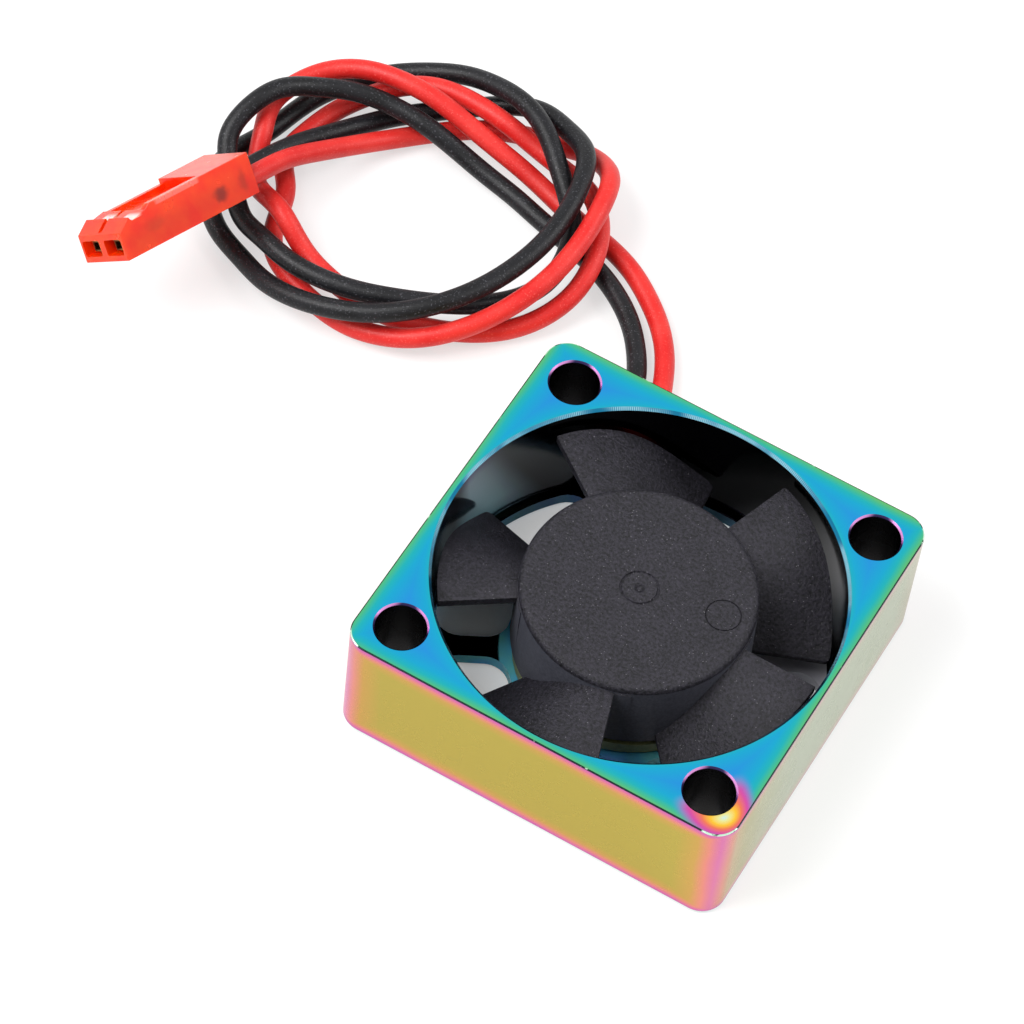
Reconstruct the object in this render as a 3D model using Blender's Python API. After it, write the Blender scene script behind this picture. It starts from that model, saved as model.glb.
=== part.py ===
"""Axial cooling fan of the 30 mm class, with two coiled leads and a two-pin connector.

Sizes are in millimetres and angles in degrees. They become metres and radians where a
mesh is made. The origin is the centre of the frame's underside, with +Z up the shaft.
"""
import math

import bmesh
import bpy
import numpy as np
from mathutils import Euler, Matrix, Vector

MM = 0.001
CUTTER_OVERRUN = 0.5

# Clearances
SEAT_GAP = 0.3
PRESS_GAP = 0.2
TIP_GAP = 0.45
AIR_GAP = 0.35
BALL_GAP = 0.15

# Frame
FRAME_SIDE = 30.0
FRAME_HEIGHT = 10.4
FRAME_CORNER_RADIUS = 1.8
FRAME_EDGE_CHAMFER = 0.1
BORE_RADIUS = 14.35
BORE_CHAMFER = 0.2
FLOOR_THICKNESS = 1.0
LEDGE_WIDTH = 0.35
LEDGE_HEIGHT = 0.45
HOLE_PITCH = 24.0
HOLE_RADIUS = 1.8
HOLE_CHAMFER = 0.25
PLATE_RADIUS = 8.6
WINDOW_LAND = 0.1
WINDOW_CORNER_RADIUS = 1.8
STRUT_COUNT = 4
FIRST_STRUT_ANGLE = 29.1
STRUT_WIDTH = 1.6
LEAD_STRUT = 1
CHANNEL_FLOOR = 0.4
CHANNEL_WALL = 0.4

# Impeller
BLADE_COUNT = 5
FIRST_BLADE_ANGLE = -0.4
HUB_RADIUS = 8.45
HUB_TOP = 9.6
HUB_ROUND = 0.45
HUB_CAP = 0.8
SKIRT_WALL = 0.5
SKIRT_BOTTOM = 3.2
GATE_RADIUS = 1.3
GATE_DEPTH = 0.1
BLADE_ROOT_DEPTH = 0.25
BLADE_TAIL_RADIUS = 1.2
BLADE_TAIL_SHARE = 0.9
# Angle back from the leading edge, height of the upper face, upright thickness
BLADE_SECTION = (
    (0.0, 9.0, 0.7),
    (6.0, 9.0, 0.75),
    (12.0, 8.8, 0.75),
    (18.0, 8.45, 0.8),
    (24.0, 7.85, 0.85),
    (30.0, 7.0, 0.95),
    (36.0, 6.0, 1.0),
    (41.0, 5.15, 0.9),
    (45.0, 4.55, 0.7),
    (47.5, 4.2, 0.5),
    (49.5, 3.9, 0.35),
)

# Rotor
YOKE_WALL = 0.4
YOKE_PLATE = 0.5
MAGNET_WALL = 0.6
MAGNET_HEIGHT = 3.8
SHAFT_RADIUS = 0.75
SHAFT_BOTTOM = 0.8
BUSH_RADIUS = 2.0
BUSH_HEIGHT = 1.3
CLIP_WIDTH = 0.9
CLIP_THICKNESS = 0.25
CLIP_MOUTH_ANGLE = 80.0
WASHER_THICKNESS = 0.15
WASHER_WAVE = 0.08
WASHER_WAVES = 3

# Bearings
RING_WALL = 0.4
BEARING_HEIGHT = 1.2
LOWER_BEARING_BOTTOM = 1.6
BALL_RADIUS = 0.3
BALL_COUNT = 7
CAGE_WALL = 0.2
TUBE_WALL = 0.5
TUBE_TOP = 7.0
TUBE_LIP = 0.4
BASE_CAP_THICKNESS = 0.4

# Stator and board
POLE_COUNT = 4
CORE_RING = 0.6
CORE_BOTTOM = 3.9
CORE_HEIGHT = 2.0
LEG_WIDTH = 1.6
SHOE_DEPTH = 0.7
SHOE_HALF_ANGLE = 36.0
INSULATOR_WALL = 0.3
INSULATOR_RIM = 0.7
FLANGE_DEPTH = 0.4
FLANGE_SPREAD = 1.6
COIL_WALL = 0.55
BOARD_THICKNESS = 1.0
BOARD_MARGIN = 0.4
# Name, angle, distance from the axis, length, width, height
BOARD_COMPONENTS = (
    ("drive_chip", 45.0, 5.7, 1.4, 1.8, 0.6),
    ("hall_sensor", 225.0, 6.4, 0.8, 1.2, 0.5),
    ("capacitor", 315.0, 5.9, 0.8, 1.4, 0.6),
)
SOLDER_INSET = 0.9
SOLDER_RADIUS = 0.5
SOLDER_HEIGHT = 0.35

# Leads and their coil
LEAD_DIAMETER = 1.5
LEAD_PITCH = 1.9
LEAD_GAP = 0.5
LEAD_SIDES = {"red": -1, "black": 1}
LEAD_OVERRUN = 1.0
COIL_CENTRE = (-29.6, 27.4)
QUARTER_POINTS = 6
# Way from the slot to the coil: x and y from the coil's centre, then height of the lead's axis
WAY_IN = {
    "red": ((20.9, -5.6, 0.8), (17.0, -0.6, 0.8), (12.5, 2.0, 0.8),
            (7.0, 4.0, 0.8), (3.0, 5.0, 2.8), (-3.0, 5.2, 4.8)),
    "black": ((18.9, -5.8, 0.8), (15.0, -1.3, 0.8), (11.5, 0.8, 0.8),
              (7.5, 2.2, 0.8), (3.0, 3.8, 1.5), (-3.0, 4.2, 3.0)),
}
# Outermost point of each quarter turn, first up, then left, down, right and up again:
# x and y from the coil's centre, height there, height halfway to the next
COIL_EXTREMES = {
    "red": (
        (-9.0, 6.2, 4.2, 2.9), (-16.3, 0.0, 2.7, 2.8), (-2.0, -11.5, 0.8, 0.9), (11.8, -0.8, 2.8, 2.8),
        (-4.0, 7.5, 2.4, 1.2), (-13.5, -1.5, 1.4, 0.8), (-2.0, -14.0, 1.8, 3.3), (10.2, 0.5, 4.9, 4.4),
        (3.2, 9.6, 1.2, 0.8),
    ),
    "black": (
        (-6.0, 4.4, 3.3, 4.5), (-16.5, -4.2, 3.4, 2.7), (-6.0, -12.4, 1.4, 0.8), (10.0, -0.3, 2.7, 3.8),
        (-7.6, 9.3, 1.1, 0.8), (-15.3, -5.5, 0.8, 1.6), (-4.5, -14.2, 2.8, 3.2), (8.1, 1.0, 4.8, 4.2),
        (-1.4, 9.4, 1.2, 0.8),
    ),
}
# Way from the coil to the connector
WAY_OUT = {
    "red": ((-1.7, 7.4, 0.8), (-4.6, 5.0, 0.8), (-8.4, 1.8, 1.3), (-10.3, -1.4, 2.6)),
    "black": ((-5.3, 7.5, 0.8), (-8.1, 4.9, 1.0), (-10.8, 0.6, 2.7)),
}
# How the leads are laid down: spacing of their points, spots on each straight piece, numbers of
# steps, and what a point gives at each step to even bends, to its plan and to its weight
LEAD_STEP = 2.9
LEAD_SPOTS = 4
SETTLE_STEPS = 300
CLEAR_STEPS = 80
EVEN_SHARE = 0.3
PLAN_SHARE = 0.03
SINK = 0.01
LEAST_WEIGHT = 0.25
HELD_START = 4
HELD_END = 3

# Connector
CONNECTOR_PLACE = (-46.1, 4.8, 7.5)
CONNECTOR_TURN = (-42.9, 13.5, 74.3)
CONNECTOR_LENGTH = 13.2
CONNECTOR_WIDTH = 4.9
CONNECTOR_HEIGHT = 3.15
CONNECTOR_PITCH = 2.5
LATCH_END = 2.8
# Its top from the front, as distance and height: lip, crest, foot and end of the latch wedge, rails
CONNECTOR_TOP = ((0.0, 2.1), (1.2, 2.9), (1.35, 2.6), (LATCH_END, 2.85), (3.3, CONNECTOR_HEIGHT))
CREST_SLOT = 0.4
CREST_SLOT_FLOOR = 2.2
RECESS_END = 8.5
RECESS_FLOOR = 2.35
RAIL_WIDTH = 0.5
KEY_RAIL_HEIGHT = 2.75
SOCKET_WIDTH = 1.9
SOCKET_HEIGHT = 1.2
SOCKET_FLOOR = 0.45
SOCKET_DEPTH = 10.4
LEAD_ENTRY = 2.0
LEAD_INSERT = 1.5
LEAD_END_POINTS = (2.1, 0.3)
GUARD_STEP = 0.8

# Sizes that follow from those above
WINDOW_RADIUS = BORE_RADIUS - LEDGE_WIDTH - WINDOW_LAND
CHANNEL_WIDTH = LEAD_PITCH + LEAD_DIAMETER + 2 * SEAT_GAP
LEAD_STRUT_WIDTH = CHANNEL_WIDTH + 2 * CHANNEL_WALL
LEAD_AXIS_HEIGHT = CHANNEL_FLOOR + SEAT_GAP + LEAD_DIAMETER / 2
CHANNEL_TOP = LEAD_AXIS_HEIGHT + LEAD_DIAMETER / 2 + SEAT_GAP
LEAD_ANGLE = FIRST_STRUT_ANGLE + LEAD_STRUT * 360.0 / STRUT_COUNT
BOARD_RADIUS = PLATE_RADIUS - BOARD_MARGIN
BOARD_BOTTOM = FLOOR_THICKNESS + SEAT_GAP
BOARD_TOP = BOARD_BOTTOM + BOARD_THICKNESS
LEAD_START_RADIUS = BOARD_RADIUS + SEAT_GAP
BLADE_TIP_RADIUS = BORE_RADIUS - TIP_GAP
SKIRT_INNER = HUB_RADIUS - SKIRT_WALL
CAP_UNDERSIDE = HUB_TOP - HUB_CAP
YOKE_OUTER = SKIRT_INNER - PRESS_GAP
YOKE_INNER = YOKE_OUTER - YOKE_WALL
YOKE_TOP = CAP_UNDERSIDE - PRESS_GAP
YOKE_UNDERSIDE = YOKE_TOP - YOKE_PLATE
YOKE_BOTTOM = SKIRT_BOTTOM + PRESS_GAP
MAGNET_OUTER = YOKE_INNER - PRESS_GAP
MAGNET_INNER = MAGNET_OUTER - MAGNET_WALL
MAGNET_BOTTOM = YOKE_BOTTOM + PRESS_GAP
POLE_RADIUS = MAGNET_INNER - AIR_GAP
SHAFT_SEAT = SHAFT_RADIUS + PRESS_GAP
INNER_RING_RADIUS = SHAFT_SEAT + RING_WALL
BALL_CIRCLE = INNER_RING_RADIUS + BALL_GAP + BALL_RADIUS
OUTER_RING_BORE = BALL_CIRCLE + BALL_RADIUS + BALL_GAP
OUTER_RING_RADIUS = OUTER_RING_BORE + RING_WALL
TUBE_BORE = OUTER_RING_RADIUS + PRESS_GAP
TUBE_RADIUS = TUBE_BORE + TUBE_WALL
TUBE_SEAT = TUBE_RADIUS + PRESS_GAP
LOWER_BEARING_TOP = LOWER_BEARING_BOTTOM + BEARING_HEIGHT
UPPER_BEARING_TOP = TUBE_TOP - TUBE_LIP
UPPER_BEARING_BOTTOM = UPPER_BEARING_TOP - BEARING_HEIGHT
BEARING_BOTTOMS = {"upper": UPPER_BEARING_BOTTOM, "lower": LOWER_BEARING_BOTTOM}
BUSH_BOTTOM = YOKE_TOP - BUSH_HEIGHT
CORE_RADIUS = TUBE_SEAT + CORE_RING
CORE_TOP = CORE_BOTTOM + CORE_HEIGHT
SHOE_INNER = POLE_RADIUS - SHOE_DEPTH
LOWER_ARM_BOTTOM = CORE_BOTTOM - PRESS_GAP - INSULATOR_WALL
UPPER_ARM_TOP = CORE_TOP + PRESS_GAP + INSULATOR_WALL
SOCKET_MIDDLE = SOCKET_FLOOR + SOCKET_HEIGHT / 2


def clear_scene():
    """Remove every object that the file opened with."""
    for old in list(bpy.data.objects):
        bpy.data.objects.remove(old, do_unlink=True)


def material(name, colour, roughness, metallic=0.0, alpha=1.0):
    """A plain Principled finish."""
    finish = bpy.data.materials.new(name)
    finish.use_nodes = True
    shader = finish.node_tree.nodes["Principled BSDF"]
    shader.inputs["Base Color"].default_value = (*colour, 1.0)
    shader.inputs["Roughness"].default_value = roughness
    shader.inputs["Metallic"].default_value = metallic
    shader.inputs["Alpha"].default_value = alpha
    return finish


def new_object(name, data, finish=None, parent=None):
    """Link an object to the scene, on its parent and with its finish."""
    item = bpy.data.objects.new(name, data)
    bpy.context.scene.collection.objects.link(item)
    item.parent = parent
    if finish:
        data.materials.append(finish)
    return item


def seat(name, place=(0.0, 0.0, 0.0), turn=(0.0, 0.0, 0.0)):
    """An empty that carries the pieces of one body."""
    empty = new_object(name, None)
    empty.location = Vector(place) * MM
    empty.rotation_euler = Euler([math.radians(angle) for angle in turn])
    return empty


def solid(name, shape, finish=None, parent=None):
    """Turn a bmesh drawn in millimetres into an object with its faces out."""
    bmesh.ops.remove_doubles(shape, verts=shape.verts, dist=1e-5)
    bmesh.ops.recalc_face_normals(shape, faces=shape.faces)
    bmesh.ops.scale(shape, vec=(MM, MM, MM), verts=shape.verts)
    mesh = bpy.data.meshes.new(name)
    shape.to_mesh(mesh)
    shape.free()
    mesh.shade_smooth()
    mesh.set_sharp_from_angle(angle=math.radians(30.0))
    return new_object(name, mesh, finish, parent)


def combine(target, tool, operation):
    """Cut a tool out of a target, or join it on, and hide the tool."""
    tool.hide_render = True
    tool.display_type = "WIRE"
    step = target.modifiers.new(tool.name, "BOOLEAN")
    step.operation = operation
    step.solver = "EXACT"
    step.object = tool


def turned(profile, steps=48, closed=True):
    """Spin a profile of (radius, height) points about the Z axis."""
    shape = bmesh.new()
    points = [shape.verts.new((radius, 0.0, height)) for radius, height in profile]
    edges = [shape.edges.new(pair) for pair in zip(points, points[1:])]
    if closed:
        edges.append(shape.edges.new((points[-1], points[0])))
    bmesh.ops.spin(shape, geom=points + edges, cent=(0, 0, 0), axis=(0, 0, 1),
                   angle=math.tau, steps=steps, use_merge=True)
    return shape


def ring_profile(inner, outer, bottom, top):
    """The cut face of a plain ring."""
    return ((outer, top), (outer, bottom), (inner, bottom), (inner, top))


def disc_profile(radius, bottom, top):
    """The outline of a solid of revolution that reaches the axis."""
    return ((0.0, top), (radius, top), (radius, bottom), (0.0, bottom))


def lofted(rings):
    """Skin a stack of outlines that have the same number of points, and cap both ends."""
    shape = bmesh.new()
    rows = [[shape.verts.new(point) for point in ring] for ring in rings]
    for lower, upper in zip(rows, rows[1:]):
        for index, start in enumerate(lower):
            following = (index + 1) % len(lower)
            shape.faces.new((start, lower[following], upper[following], upper[index]))
    shape.faces.new(rows[0])
    shape.faces.new(rows[-1])
    return shape


def prism(outline, bottom, top):
    """Extrude a flat outline straight up."""
    return lofted([[(x, y, height) for x, y in outline] for height in (bottom, top)])


def block(low, high):
    """A box between two corners."""
    outline = ((low[0], low[1]), (high[0], low[1]), (high[0], high[1]), (low[0], high[1]))
    return prism(outline, low[2], high[2])


def move(shape, place=(0.0, 0.0, 0.0), turn=0.0):
    """Turn a bmesh about Z, then shift it, and give it back."""
    bmesh.ops.rotate(shape, cent=(0, 0, 0), verts=shape.verts,
                     matrix=Matrix.Rotation(math.radians(turn), 3, "Z"))
    bmesh.ops.translate(shape, vec=place, verts=shape.verts)
    return shape


def polar(radius, angle):
    """A flat point at a distance and an angle from the axis."""
    return radius * math.cos(math.radians(angle)), radius * math.sin(math.radians(angle))


def arc(centre, radius, start, end, steps):
    """Points along an arc about a centre, both ends included."""
    angles = np.linspace(start, end, steps + 1)
    return [(centre[0] + polar(radius, a)[0], centre[1] + polar(radius, a)[1]) for a in angles]


def rounded_square(side, radius, height, steps=6):
    """A square outline with round corners at one height."""
    reach = side / 2 - radius
    points = []
    for corner in range(4):
        turn = 90.0 * corner
        x, y = polar(math.hypot(reach, reach), turn + 45.0)
        points += arc((x, y), radius, turn, turn + 90.0, steps)
    return [(x, y, height) for x, y in points]


def window_corner(circle, half_width, inward):
    """Centre and end angles of the round where a strut's flank meets a circle.

    The strut lies along +X. The angles run from the flank to the circle.
    """
    radius = WINDOW_CORNER_RADIUS
    distance = circle - radius if inward else circle + radius
    y = half_width + radius
    x = math.sqrt(distance ** 2 - y ** 2)
    towards_circle = math.degrees(math.atan2(y, x)) + (0.0 if inward else 180.0)
    return (x, y), -90.0, towards_circle - (0.0 if inward else 360.0)


def window_outline(start_angle, start_width, end_angle, end_width):
    """Outline of an air window between two struts, with round corners."""
    def strut_end(angle, width, circle, inward, mirrored):
        centre, first, last = window_corner(circle, width / 2, inward)
        side = -1.0 if mirrored else 1.0
        points = arc(centre, WINDOW_CORNER_RADIUS, first, last, 4)
        return [polar(math.hypot(x, y), angle + side * math.degrees(math.atan2(y, x))) for x, y in points]

    def rim(circle, before, after, steps):
        first = math.degrees(math.atan2(before[1], before[0]))
        last = math.degrees(math.atan2(after[1], after[0]))
        turn = (last - first + 180.0) % 360.0 - 180.0
        return arc((0.0, 0.0), circle, first, first + turn, steps)[1:-1]

    outer_start = strut_end(start_angle, start_width, WINDOW_RADIUS, True, False)
    outer_end = strut_end(end_angle, end_width, WINDOW_RADIUS, True, True)[::-1]
    inner_end = strut_end(end_angle, end_width, PLATE_RADIUS, False, True)
    inner_start = strut_end(start_angle, start_width, PLATE_RADIUS, False, False)[::-1]
    outline = outer_start + rim(WINDOW_RADIUS, outer_start[-1], outer_end[0], 12) + outer_end
    return outline + inner_end + rim(PLATE_RADIUS, inner_end[-1], inner_start[0], 8) + inner_start


def make_frame(finish):
    """The machined housing with its bore, windows, screw holes and lead slot."""
    chamfer = FRAME_EDGE_CHAMFER
    inset = FRAME_SIDE - 2 * chamfer
    radius = FRAME_CORNER_RADIUS
    frame = solid("frame", lofted((
        rounded_square(inset, radius - chamfer, 0.0),
        rounded_square(FRAME_SIDE, radius, chamfer),
        rounded_square(FRAME_SIDE, radius, FRAME_HEIGHT - chamfer),
        rounded_square(inset, radius - chamfer, FRAME_HEIGHT),
    )), finish)

    above = CUTTER_OVERRUN
    rim = BORE_RADIUS + BORE_CHAMFER + above
    bore = turned((
        (0.0, FRAME_HEIGHT + above),
        (rim, FRAME_HEIGHT + above),
        (BORE_RADIUS, FRAME_HEIGHT - BORE_CHAMFER),
        (BORE_RADIUS, FLOOR_THICKNESS + LEDGE_HEIGHT),
        (BORE_RADIUS - LEDGE_WIDTH, FLOOR_THICKNESS),
        (0.0, FLOOR_THICKNESS),
    ), steps=96, closed=False)
    combine(frame, solid("bore_cutter", bore), "DIFFERENCE")

    widths = [LEAD_STRUT_WIDTH if index == LEAD_STRUT else STRUT_WIDTH for index in range(STRUT_COUNT)]
    for index in range(STRUT_COUNT):
        start = FIRST_STRUT_ANGLE + index * 360.0 / STRUT_COUNT
        end = start + 360.0 / STRUT_COUNT
        outline = window_outline(start, widths[index], end, widths[(index + 1) % STRUT_COUNT])
        window = prism(outline, -above, FLOOR_THICKNESS + above)
        combine(frame, solid(f"window_cutter_{index + 1}", window), "DIFFERENCE")

    wide = HOLE_RADIUS + HOLE_CHAMFER + above
    hole = (
        (0.0, FRAME_HEIGHT + above),
        (wide, FRAME_HEIGHT + above),
        (HOLE_RADIUS, FRAME_HEIGHT - HOLE_CHAMFER),
        (HOLE_RADIUS, HOLE_CHAMFER),
        (wide, -above),
        (0.0, -above),
    )
    for index in range(4):
        centre = polar(HOLE_PITCH / math.sqrt(2), 45.0 + 90.0 * index)
        cutter = move(turned(hole, steps=24, closed=False), (*centre, 0.0))
        combine(frame, solid(f"screw_hole_cutter_{index + 1}", cutter), "DIFFERENCE")

    seat_hole = turned(disc_profile(TUBE_SEAT, -above, FLOOR_THICKNESS + above), 36, closed=False)
    combine(frame, solid("tube_seat_cutter", seat_hole), "DIFFERENCE")
    half = CHANNEL_WIDTH / 2
    slot = block((PLATE_RADIUS - BOARD_MARGIN, -half, CHANNEL_FLOOR), (FRAME_SIDE, half, CHANNEL_TOP))
    combine(frame, solid("lead_slot_cutter", move(slot, turn=LEAD_ANGLE)), "DIFFERENCE")


def blade_reach(back_angle):
    """Tip radius of a blade at an angle back from its leading edge, round at the tail."""
    left = math.radians(BLADE_SECTION[-1][0] - back_angle) * BLADE_TIP_RADIUS
    if left >= BLADE_TAIL_RADIUS:
        return BLADE_TIP_RADIUS
    drop = BLADE_TAIL_RADIUS - left
    return BLADE_TIP_RADIUS - BLADE_TAIL_RADIUS + math.sqrt(BLADE_TAIL_RADIUS ** 2 - drop ** 2)


def blade(angle):
    """One curved blade whose root sits in the hub's skirt."""
    root = HUB_RADIUS - BLADE_ROOT_DEPTH
    rings = []
    for back, top, thickness in BLADE_SECTION:
        tip = max(blade_reach(back), BLADE_TIP_RADIUS - BLADE_TAIL_SHARE * BLADE_TAIL_RADIUS)
        inner, outer = polar(root, angle - back), polar(tip, angle - back)
        low = top - thickness
        rings.append([(*inner, low), (*outer, low), (*outer, top), (*inner, top)])
    return lofted(rings)


def make_impeller(finish, parent):
    """Hub and blades in one moulding."""
    profile = [
        (0.0, HUB_TOP - 3 * GATE_DEPTH),
        (GATE_RADIUS / 3, HUB_TOP - GATE_DEPTH),
        (GATE_RADIUS, HUB_TOP - GATE_DEPTH),
        (GATE_RADIUS + GATE_DEPTH, HUB_TOP),
    ]
    round_centre = (HUB_RADIUS - HUB_ROUND, HUB_TOP - HUB_ROUND)
    profile += arc(round_centre, HUB_ROUND, 90.0, 0.0, 3)
    profile += [(HUB_RADIUS, SKIRT_BOTTOM), (SKIRT_INNER, SKIRT_BOTTOM),
                (SKIRT_INNER, CAP_UNDERSIDE), (0.0, CAP_UNDERSIDE)]
    impeller = solid("impeller", turned(profile, steps=60, closed=False), finish, parent)
    for index in range(BLADE_COUNT):
        angle = FIRST_BLADE_ANGLE + index * 360.0 / BLADE_COUNT
        combine(impeller, solid(f"blade_tool_{index + 1}", blade(angle), None, parent), "UNION")


def make_rotor(parent):
    """Everything that turns with the shaft, apart from the impeller."""
    steel = material("shaft_steel", (0.55, 0.56, 0.58), 0.25, 1.0)
    yoke_steel = material("yoke_steel", (0.35, 0.36, 0.38), 0.45, 1.0)
    brass = material("bush_brass", (0.72, 0.55, 0.25), 0.35, 1.0)
    ferrite = material("magnet_ferrite", (0.06, 0.06, 0.065), 0.7)
    spring = material("spring_steel", (0.42, 0.43, 0.46), 0.3, 1.0)

    yoke = (
        (YOKE_OUTER, YOKE_TOP),
        (YOKE_OUTER, YOKE_BOTTOM),
        (YOKE_INNER, YOKE_BOTTOM),
        (YOKE_INNER, YOKE_UNDERSIDE),
        (BUSH_RADIUS + PRESS_GAP, YOKE_UNDERSIDE),
        (BUSH_RADIUS + PRESS_GAP, YOKE_TOP),
    )
    solid("rotor_yoke", turned(yoke), yoke_steel, parent)
    magnet = ring_profile(MAGNET_INNER, MAGNET_OUTER, MAGNET_BOTTOM, MAGNET_BOTTOM + MAGNET_HEIGHT)
    solid("magnet_ring", turned(magnet), ferrite, parent)
    shaft = disc_profile(SHAFT_RADIUS, SHAFT_BOTTOM, YOKE_TOP)
    solid("shaft", turned(shaft, 20, closed=False), steel, parent)
    bush = ring_profile(SHAFT_SEAT, BUSH_RADIUS, BUSH_BOTTOM, YOKE_TOP)
    solid("shaft_bush", turned(bush, 24), brass, parent)
    for place, bottom in BEARING_BOTTOMS.items():
        ring = ring_profile(SHAFT_SEAT, INNER_RING_RADIUS, bottom, bottom + BEARING_HEIGHT)
        solid(f"{place}_bearing_inner_ring", turned(ring, 24), steel, parent)

    middle = (UPPER_BEARING_TOP + BUSH_BOTTOM) / 2
    half = WASHER_THICKNESS / 2
    washer = turned(ring_profile(SHAFT_SEAT, INNER_RING_RADIUS, middle - half, middle + half), 24)
    for point in washer.verts:
        point.co.z += WASHER_WAVE * math.sin(WASHER_WAVES * math.atan2(point.co.y, point.co.x))
    solid("preload_washer", washer, spring, parent)

    mouth = CLIP_MOUTH_ANGLE / 2
    outline = arc((0.0, 0.0), SHAFT_SEAT + CLIP_WIDTH, mouth, 360.0 - mouth, 16)
    outline += arc((0.0, 0.0), SHAFT_SEAT, 360.0 - mouth, mouth, 16)
    clip_top = LOWER_BEARING_BOTTOM - PRESS_GAP
    solid("retaining_clip", prism(outline, clip_top - CLIP_THICKNESS, clip_top), spring, parent)


def make_ball_cages(parent):
    """The balls of each bearing, held in a cage."""
    chrome_steel = material("ball_steel", (0.68, 0.69, 0.71), 0.15, 1.0)
    half = CAGE_WALL / 2
    for place, bottom in BEARING_BOTTOMS.items():
        middle = bottom + BEARING_HEIGHT / 2
        ring = ring_profile(BALL_CIRCLE - half, BALL_CIRCLE + half, middle - half, middle + half)
        cage = solid(f"{place}_ball_cage", turned(ring, 2 * BALL_COUNT), chrome_steel, parent)
        for index in range(BALL_COUNT):
            ball = bmesh.new()
            bmesh.ops.create_icosphere(ball, subdivisions=2, radius=BALL_RADIUS)
            centre = polar(BALL_CIRCLE, (index + 0.5) * 360.0 / BALL_COUNT)
            tool = solid(f"{place}_ball_tool_{index + 1}", move(ball, (*centre, middle)), None, parent)
            combine(cage, tool, "UNION")


def make_bearing_seat():
    """The tube in the floor plate, with the bearings' still rings."""
    brass = material("tube_brass", (0.70, 0.53, 0.24), 0.4, 1.0)
    steel = material("ring_steel", (0.58, 0.59, 0.61), 0.25, 1.0)
    plastic = material("cap_plastic", (0.05, 0.05, 0.055), 0.6)
    solid("bearing_tube", turned(ring_profile(TUBE_BORE, TUBE_RADIUS, 0.0, TUBE_TOP), 36), brass)
    cap = disc_profile(TUBE_BORE - PRESS_GAP, 0.0, BASE_CAP_THICKNESS)
    solid("base_cap", turned(cap, 30, closed=False), plastic)
    for place, bottom in BEARING_BOTTOMS.items():
        ring = ring_profile(OUTER_RING_BORE, OUTER_RING_RADIUS, bottom, bottom + BEARING_HEIGHT)
        solid(f"{place}_bearing_outer_ring", turned(ring, 30), steel)
    spacer = ring_profile(OUTER_RING_BORE, OUTER_RING_RADIUS,
                          LOWER_BEARING_TOP + PRESS_GAP, UPPER_BEARING_BOTTOM - PRESS_GAP)
    solid("bearing_spacer", turned(spacer, 30), brass)


def spider_outline(shoe_half_angle, shoe_outer):
    """Outline of a ring with a leg and a curved end at each pole."""
    half = LEG_WIDTH / 2
    outline = []
    for pole in range(POLE_COUNT):
        turn = pole * 360.0 / POLE_COUNT
        root = math.degrees(math.asin(half / CORE_RADIUS))
        neck = math.degrees(math.asin(half / SHOE_INNER))
        outline += [polar(CORE_RADIUS, turn - root), polar(SHOE_INNER, turn - neck)]
        outline += arc((0.0, 0.0), SHOE_INNER, turn - neck, turn - shoe_half_angle, 3)[1:]
        outline += arc((0.0, 0.0), shoe_outer, turn - shoe_half_angle, turn + shoe_half_angle, 6)
        outline += arc((0.0, 0.0), SHOE_INNER, turn + shoe_half_angle, turn + neck, 3)
        gap = 360.0 / POLE_COUNT - 2 * root
        outline += arc((0.0, 0.0), CORE_RADIUS, turn + root, turn + root + gap, 4)[:-1]
    return outline


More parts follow.
